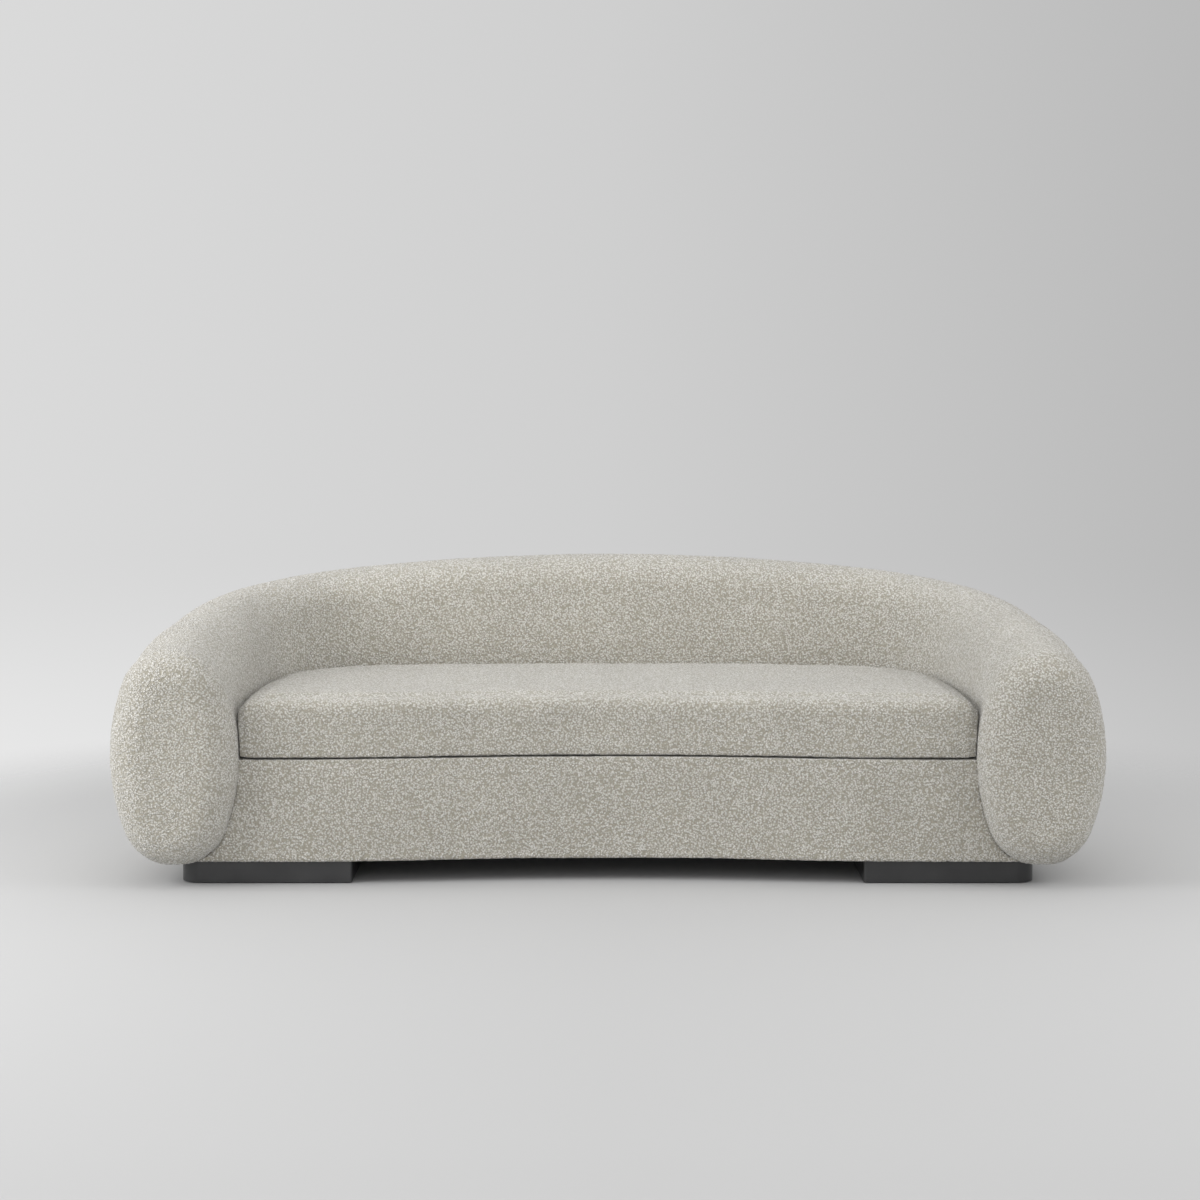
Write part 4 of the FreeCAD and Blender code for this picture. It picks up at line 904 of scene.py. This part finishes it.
@dataclass
class SeatCushion(Upholstery):
    """The one long loose cushion, inflated by a cloth simulation."""

    voxel: float = 0.008
    body: Body = Body.CUSHION
    pressure: float = 4.0
    steps: int = 20
    inward_start: float = 0.0025
    top_swell: float = 0.009
    front_swell: float = 0.006
    side_swell: float = 0.0022
    rest_band: float = 0.012
    cad_round: float = 0.0155
    edge_round: float = 0.002
    arm_gap: float = 0.002
    side_reach: float = 0.009
    side_search: float = 0.01
    side_start: float = 0.3
    side_full: float = 0.8
    cad_corner: float = 0.040
    corner_round: float = 0.018
    corner_middle: float = 0.847

    def shape(self) -> bpy.types.Object:
        """The cushion's outer form, swollen by its filling."""
        mesh = merged(self.node("cushion_cover"))
        keep_outer_skin(mesh, math.tau)
        piece = new_piece("seat_cushion_boucle", mesh)
        even_mesh(piece, self.voxel, 3)
        self.inflate(piece)
        finer = piece.modifiers.new("finer", "SUBSURF")
        finer.levels = 1
        finer.render_levels = 1
        settle(piece)
        tighten(piece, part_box("cushion_cover")[0].z, 1.0, self.cad_round, self.edge_round)
        self.square_corners(piece)
        self.meet_arms(piece)
        return piece

    def square_corners(self, piece: bpy.types.Object) -> None:
        """Fill the front corners out towards the arms."""
        places = points_of(piece)
        centre_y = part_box("cushion_cover")[0].y + self.cad_corner
        across = np.abs(places[:, 0]) - self.corner_middle
        ahead = centre_y - places[:, 1]
        in_corner = (across > 0.0) & (ahead > 0.0)
        angle = np.arctan2(np.minimum(across, ahead), np.maximum(across, ahead))
        reach = self.corner_reach(angle) / self.cad_corner
        side = np.sign(places[:, 0])
        places[in_corner, 0] = (side * (self.corner_middle + across * reach))[in_corner]
        places[in_corner, 1] = (centre_y - ahead * reach)[in_corner]
        put_points(piece, places)

    def corner_reach(self, angle: np.ndarray) -> np.ndarray:
        """Distance from the old corner's centre to the new outline.

        Args:
            angle: Angle from the nearer side's direction, up to an eighth of a turn.

        Returns:
            The distance at each angle, in metres.
        """
        flat = self.cad_corner - self.corner_round
        on_side = self.cad_corner / np.cos(angle)
        middle = flat * (np.cos(angle) + np.sin(angle))
        beyond = self.corner_round**2 - flat**2 * (1.0 - np.sin(2.0 * angle))
        on_round = middle + np.sqrt(np.maximum(beyond, 0.0))
        return np.where(np.tan(angle) * self.cad_corner < flat, on_side, on_round)

    def meet_arms(self, piece: bpy.types.Object) -> None:
        """Fill the sides out to just short of the arms."""
        cover = merged(self.node("arm_and_back_cover"))
        arms = BVHTree.FromBMesh(cover)
        cover.free()
        places = points_of(piece)
        outward = normals_of(piece)
        facing = np.abs(outward[:, 0]) - self.side_start
        weight = np.clip(facing / (self.side_full - self.side_start), 0.0, 1.0)
        for index in np.nonzero(weight > 0.0)[0].tolist():
            away = Vector((outward[index, 0], outward[index, 1], 0.0)).normalized()
            start = Vector(places[index]) - away * self.side_search
            reached = arms.ray_cast(start, away, 2.0 * self.side_search + self.side_reach)[3]
            if reached is not None:
                room = reached - self.side_search - self.arm_gap
                step = away * min(max(room, 0.0), self.side_reach) * float(weight[index])
                places[index] += np.array(step)
        put_points(piece, places)

    def stands_for(self) -> tuple[str, ...]:
        """Cover, wadding and core."""
        return ("cushion_cover", "cushion_wrap", "cushion_core")

    def inflate(self, piece: bpy.types.Object) -> None:
        """Swell the cushion and hold each point within its bounds."""
        start = points_of(piece).copy()
        outward = normals_of(piece)
        put_points(piece, start - self.inward_start * outward)
        low = float(start[:, 2].min())
        resting = np.nonzero(start[:, 2] < low + self.rest_band)[0].tolist()
        group = piece.vertex_groups.new(name="resting")
        group.add(resting, 1.0, "REPLACE")
        cloth = piece.modifiers.new("stuffing", "CLOTH")
        cloth.settings.quality = 5
        cloth.settings.mass = 0.4
        cloth.settings.tension_stiffness = 25
        cloth.settings.compression_stiffness = 25
        cloth.settings.bending_stiffness = 3
        cloth.settings.use_pressure = True
        cloth.settings.uniform_pressure_force = self.pressure
        cloth.settings.vertex_group_mass = "resting"
        cloth.settings.effector_weights.gravity = 0
        cloth.point_cache.frame_start = 1
        cloth.point_cache.frame_end = self.steps
        for step in range(1, self.steps + 1):
            bpy.context.scene.frame_set(step)
        settle(piece)
        bpy.context.scene.frame_set(1)
        swollen = points_of(piece)
        move = swollen - start
        along = (move * outward).sum(axis=1, keepdims=True)
        upward = np.clip(outward[:, 2:3], 0.0, 1.0)
        forward = np.clip(-outward[:, 1:2], 0.0, 1.0)
        most = (
            self.side_swell
            + upward * (self.top_swell - self.side_swell)
            + forward * (self.front_swell - self.side_swell)
        )
        held = np.clip(along, -self.inward_start, most)
        drift = move - along * outward
        length = np.linalg.norm(drift, axis=1, keepdims=True)
        drift *= np.minimum(1.0, self.front_swell / np.maximum(length, TINY))
        put_points(piece, start + outward * held + drift)


@dataclass
class Deck:
    """The lined deck under the cushion, sunk a little between its straps."""

    frame: Frame
    wardrobe: Wardrobe
    voxel: float = 0.008
    sag: float = 0.0018
    strap_pitch: float = 0.14
    crossing_pitch: float = 0.11

    def build(self) -> bpy.types.Object:
        """Pad and cloth as one padded piece."""
        mesh = merged(self.frame["nodes"]["deck_pad"])
        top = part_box("deck_cloth")[1].z
        middle = (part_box("deck_pad")[0].z + top) / 2
        for vert in mesh.verts:
            if vert.co.z > middle:
                vert.co.z = top
        piece = new_piece("deck", mesh)
        even_mesh(piece, self.voxel, 1)
        places = points_of(piece)
        along = np.cos(places[:, 0] * math.tau / self.strap_pitch)
        ripples = along * np.cos(places[:, 1] * math.tau / self.crossing_pitch)
        raised = places[:, 2] > middle
        places[raised, 2] -= self.sag * (1.0 - ripples[raised]) / 2
        places[:, 2] = np.minimum(places[:, 2], top)
        put_points(piece, places)
        smooth_shaded(piece)
        self.wardrobe.dress(piece, Slot.DECK_CLOTH)
        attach(piece, Body.FRAME.value)
        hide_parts("deck_cloth", "deck_pad")
        return piece


@dataclass
class BottomCloth:
    """The thin black cloth stapled under the frame."""

    frame: Frame
    wardrobe: Wardrobe
    longest_edge: float = 0.035
    height: float = 0.0554
    slack: float = 0.0012
    waves: tuple[float, float] = (9.0, 13.0)
    thickness: float = 0.0005
    area: float = 1.598
    most_halvings: int = 8

    def build(self) -> bpy.types.Object:
        """The cloth's upper face, divided and left slightly slack."""
        mesh = merged(self.frame["nodes"]["bottom_cloth"])
        keep_outer_skin(mesh, math.radians(20))
        self.divide(mesh)
        for vert in mesh.verts:
            if not vert.is_boundary:
                wave = math.sin(vert.co.x * self.waves[0]) * math.sin(vert.co.y * self.waves[1])
                vert.co.z = self.height + self.slack * (wave - 1.0) / 2
        piece = new_piece("underside_cloth", mesh)
        solid = piece.modifiers.new("thickness", "SOLIDIFY")
        solid.thickness = self.thickness
        settle(piece)
        smooth_shaded(piece)
        self.wardrobe.dress(piece, Slot.BLACK_CLOTH)
        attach(piece, Body.FRAME.value)
        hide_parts("bottom_cloth")
        return piece

    def divide(self, mesh: bmesh.types.BMesh) -> None:
        """Halve long edges until none is left."""
        for _ in range(self.most_halvings):
            long_edges = [edge for edge in mesh.edges if edge.calc_length() > self.longest_edge]
            if not long_edges:
                break
            bmesh.ops.subdivide_edges(mesh, edges=long_edges, cuts=1)
            bmesh.ops.triangulate(mesh, faces=mesh.faces)
            inner = [edge for edge in mesh.edges if not edge.is_boundary]
            bmesh.ops.beautify_fill(mesh, faces=mesh.faces, edges=inner)


@dataclass
class Plinths:
    """The two lacquered blocks, with their sharp edges eased."""

    frame: Frame
    wardrobe: Wardrobe
    ease: float = 0.0012
    segments: int = 3
    flat_angle: float = math.radians(0.5)
    sharp_angle: float = math.radians(60)

    def build(self) -> list[bpy.types.Object]:
        """Both blocks."""
        return [self.block(name) for name in ("plinth_right", "plinth_left")]

    def block(self, node: str) -> bpy.types.Object:
        """One block with bevelled rims.

        Args:
            node: The CAD node that it stands for.

        Returns:
            The new piece.
        """
        mesh = merged(self.frame["nodes"][node])
        bmesh.ops.dissolve_limit(
            mesh, angle_limit=self.flat_angle, verts=mesh.verts, edges=mesh.edges
        )
        sharp = [edge for edge in mesh.edges if edge.calc_face_angle(0.0) > self.sharp_angle]
        bmesh.ops.bevel(
            mesh,
            geom=sharp,
            offset=self.ease,
            offset_type="OFFSET",
            segments=self.segments,
            profile=0.5,
            affect="EDGES",
            clamp_overlap=True,
            material=-1,
        )
        piece = new_piece(f"{node}_lacquered", mesh)
        smooth_shaded(piece)
        flat = piece.modifiers.new("even_light", "WEIGHTED_NORMAL")
        flat.keep_sharp = True
        self.wardrobe.dress(piece, Slot.BLACK_LACQUER)
        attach(piece, Body.FRAME.value)
        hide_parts(node)
        return piece


# Studio.


@dataclass(frozen=True)
class SoftBox:
    """One square area lamp that faces the sofa, with its size in metres and power in watts."""

    name: str
    place: tuple[float, float, float]
    size: float
    power: float
    aim: tuple[float, float, float] = (0.0, 0.0, 0.4)

    def hang(self) -> None:
        """Put the lamp into the scene."""
        data = bpy.data.lights.new(self.name, "AREA")
        data.shape = "SQUARE"
        data.size = self.size
        data.energy = self.power
        lamp = bpy.data.objects.new(self.name, data)
        lamp.location = self.place
        facing = Vector(self.aim) - Vector(self.place)
        lamp.rotation_euler = facing.to_track_quat("-Z", "Y").to_euler()
        bpy.context.scene.collection.objects.link(lamp)


SOFT_BOXES = (
    SoftBox("overhead", (-0.2, -0.2, 3.2), 3.4, 32.0),
    SoftBox("left_side", (-3.7, -1.4, 1.9), 2.2, 104.0),
    SoftBox("right_side", (3.6, -1.4, 2.2), 2.0, 48.0),
    SoftBox("front_fill", (-0.7, -5.2, 1.3), 2.6, 38.0),
)


def even_stops(greys: Sequence[float]) -> list[tuple[float, Colour]]:
    """Evenly spaced stops of a ramp through some greys."""
    return [(index / (len(greys) - 1), (grey,) * 3) for index, grey in enumerate(greys)]


@dataclass
class Studio:
    """Floor, backdrop, lamps and camera. None of it belongs to the sofa."""

    focal_length: float = 82.56
    sensor_width: float = 36.0
    eye: tuple[float, float, float] = (-0.019, -7.015, 1.2917)
    pitch_down: float = 5.211
    world_light: float = 0.66
    sweep_greys: tuple[float, ...] = (0.715, 0.625, 0.470)
    horizon_glow: float = 1.14
    floor_size: float = 30.0
    # The floor's greys across it and its brightening towards the front are painted light.
    floor_greys_with_painted_light: tuple[float, ...] = (0.485, 0.475, 0.53)
    nearer_floor_painted_light: float = 1.10
    fade_start: float = 1.5
    fade_end: float = 2.7

    def build(self) -> None:
        """Set up everything round the sofa."""
        self.camera()
        self.backdrop()
        self.floor()
        for box in SOFT_BOXES:
            box.hang()
        bpy.context.scene.view_settings.view_transform = "Standard"

    def camera(self) -> None:
        """The photograph's viewpoint."""
        data = bpy.data.cameras.new("photo_camera")
        data.lens = self.focal_length
        data.sensor_width = self.sensor_width
        data.clip_start = 0.1
        data.clip_end = 100.0
        camera = bpy.data.objects.new("photo_camera", data)
        camera.location = self.eye
        camera.rotation_euler = (math.radians(90.0 - self.pitch_down), 0.0, 0.0)
        bpy.context.scene.collection.objects.link(camera)
        bpy.context.scene.camera = camera

    def backdrop(self) -> None:
        """World that lights evenly and shows a pale grey sweep."""
        world = bpy.data.worlds.new("studio")
        world.use_nodes = True
        bpy.context.scene.world = world
        graph = NodeGraph(world.node_tree)
        graph.tree.nodes.clear()
        directions = graph.add("ShaderNodeTexCoord", {}).outputs["Generated"]
        split = graph.add("ShaderNodeSeparateXYZ", {0: directions})
        across = graph.span(split.outputs["X"], -0.25, 0.25)
        sweep = graph.ramp(across, even_stops(self.sweep_greys))
        glow = graph.span(split.outputs["Z"], -0.070, -0.150, 1.0, self.horizon_glow, "SMOOTHSTEP")
        seen = graph.add("ShaderNodeBackground", {"Color": sweep, "Strength": glow})
        inputs = {"Color": (1.0, 1.0, 1.0), "Strength": self.world_light}
        light = graph.add("ShaderNodeBackground", inputs)
        inputs = {0: graph.shown(), 1: light.outputs[0], 2: seen.outputs[0]}
        mix = graph.add("ShaderNodeMixShader", inputs)
        graph.add("ShaderNodeOutputWorld", {"Surface": mix.outputs[0]})

    def floor(self) -> None:
        """Pale floor that keeps the sofa's shadow and fades out far away, with painted light making
        it lighter to the right and towards the front.
        """
        mesh = bmesh.new()
        bmesh.ops.create_grid(mesh, x_segments=8, y_segments=8, size=self.floor_size / 2)
        floor = new_piece("floor", mesh)
        graph = MaterialGraph("floor_with_painted_light")
        split = graph.add("ShaderNodeSeparateXYZ", {0: graph.place})
        # Painted light: the grey rises to the right and towards the front.
        across = graph.span(split.outputs["X"], -2.2, 2.2)
        floor_grey_with_painted_light = graph.ramp(across, even_stops(self.floor_greys_with_painted_light))
        nearer = graph.span(split.outputs["Y"], -0.8, -2.6, 1.0, self.nearer_floor_painted_light)
        grain = graph.noise(graph.place, 300.0, 2.0).outputs["Fac"]
        graph.finish(
            Base_Color=graph.blended(1.0, floor_grey_with_painted_light, graph.grey(nearer), "MULTIPLY"),
            Roughness=0.75,
            Specular_IOR_Level=0.2,
            Normal=graph.bump(grain, 0.0001, 0.2),
        )
        behind = graph.math("MAXIMUM", split.outputs["Y"], 0.0)
        spot = graph.add("ShaderNodeCombineXYZ", {0: split.outputs["X"], 1: behind}).outputs[0]
        away = graph.add("ShaderNodeVectorMath", {0: spot}, operation="LENGTH").outputs["Value"]
        fade = graph.span(away, self.fade_start, self.fade_end, easing="SMOOTHSTEP")
        share = graph.math("MULTIPLY", fade, graph.shown())
        clear = graph.add("ShaderNodeBsdfTransparent", {})
        inputs = {0: share, 1: graph.shader.outputs[0], 2: clear.outputs[0]}
        mix = graph.add("ShaderNodeMixShader", inputs)
        graph.put(graph.tree.nodes["Material Output"].inputs["Surface"], mix.outputs[0])
        floor.data.materials.append(graph.material)


def main() -> None:
    """Build every piece in order."""
    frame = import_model()
    wardrobe = Wardrobe()
    wardrobe.dress_nodes(frame["nodes"])
    Studio().build()
    makers = (ArmsAndBack, Apron, SeatCushion, Deck, BottomCloth)
    pieces = [maker(frame, wardrobe).build() for maker in makers]
    for piece in pieces + Plinths(frame, wardrobe).build():
        LOG.info("%s: %d faces", piece.name, len(piece.data.polygons))


if __name__ == "__main__":
    main()
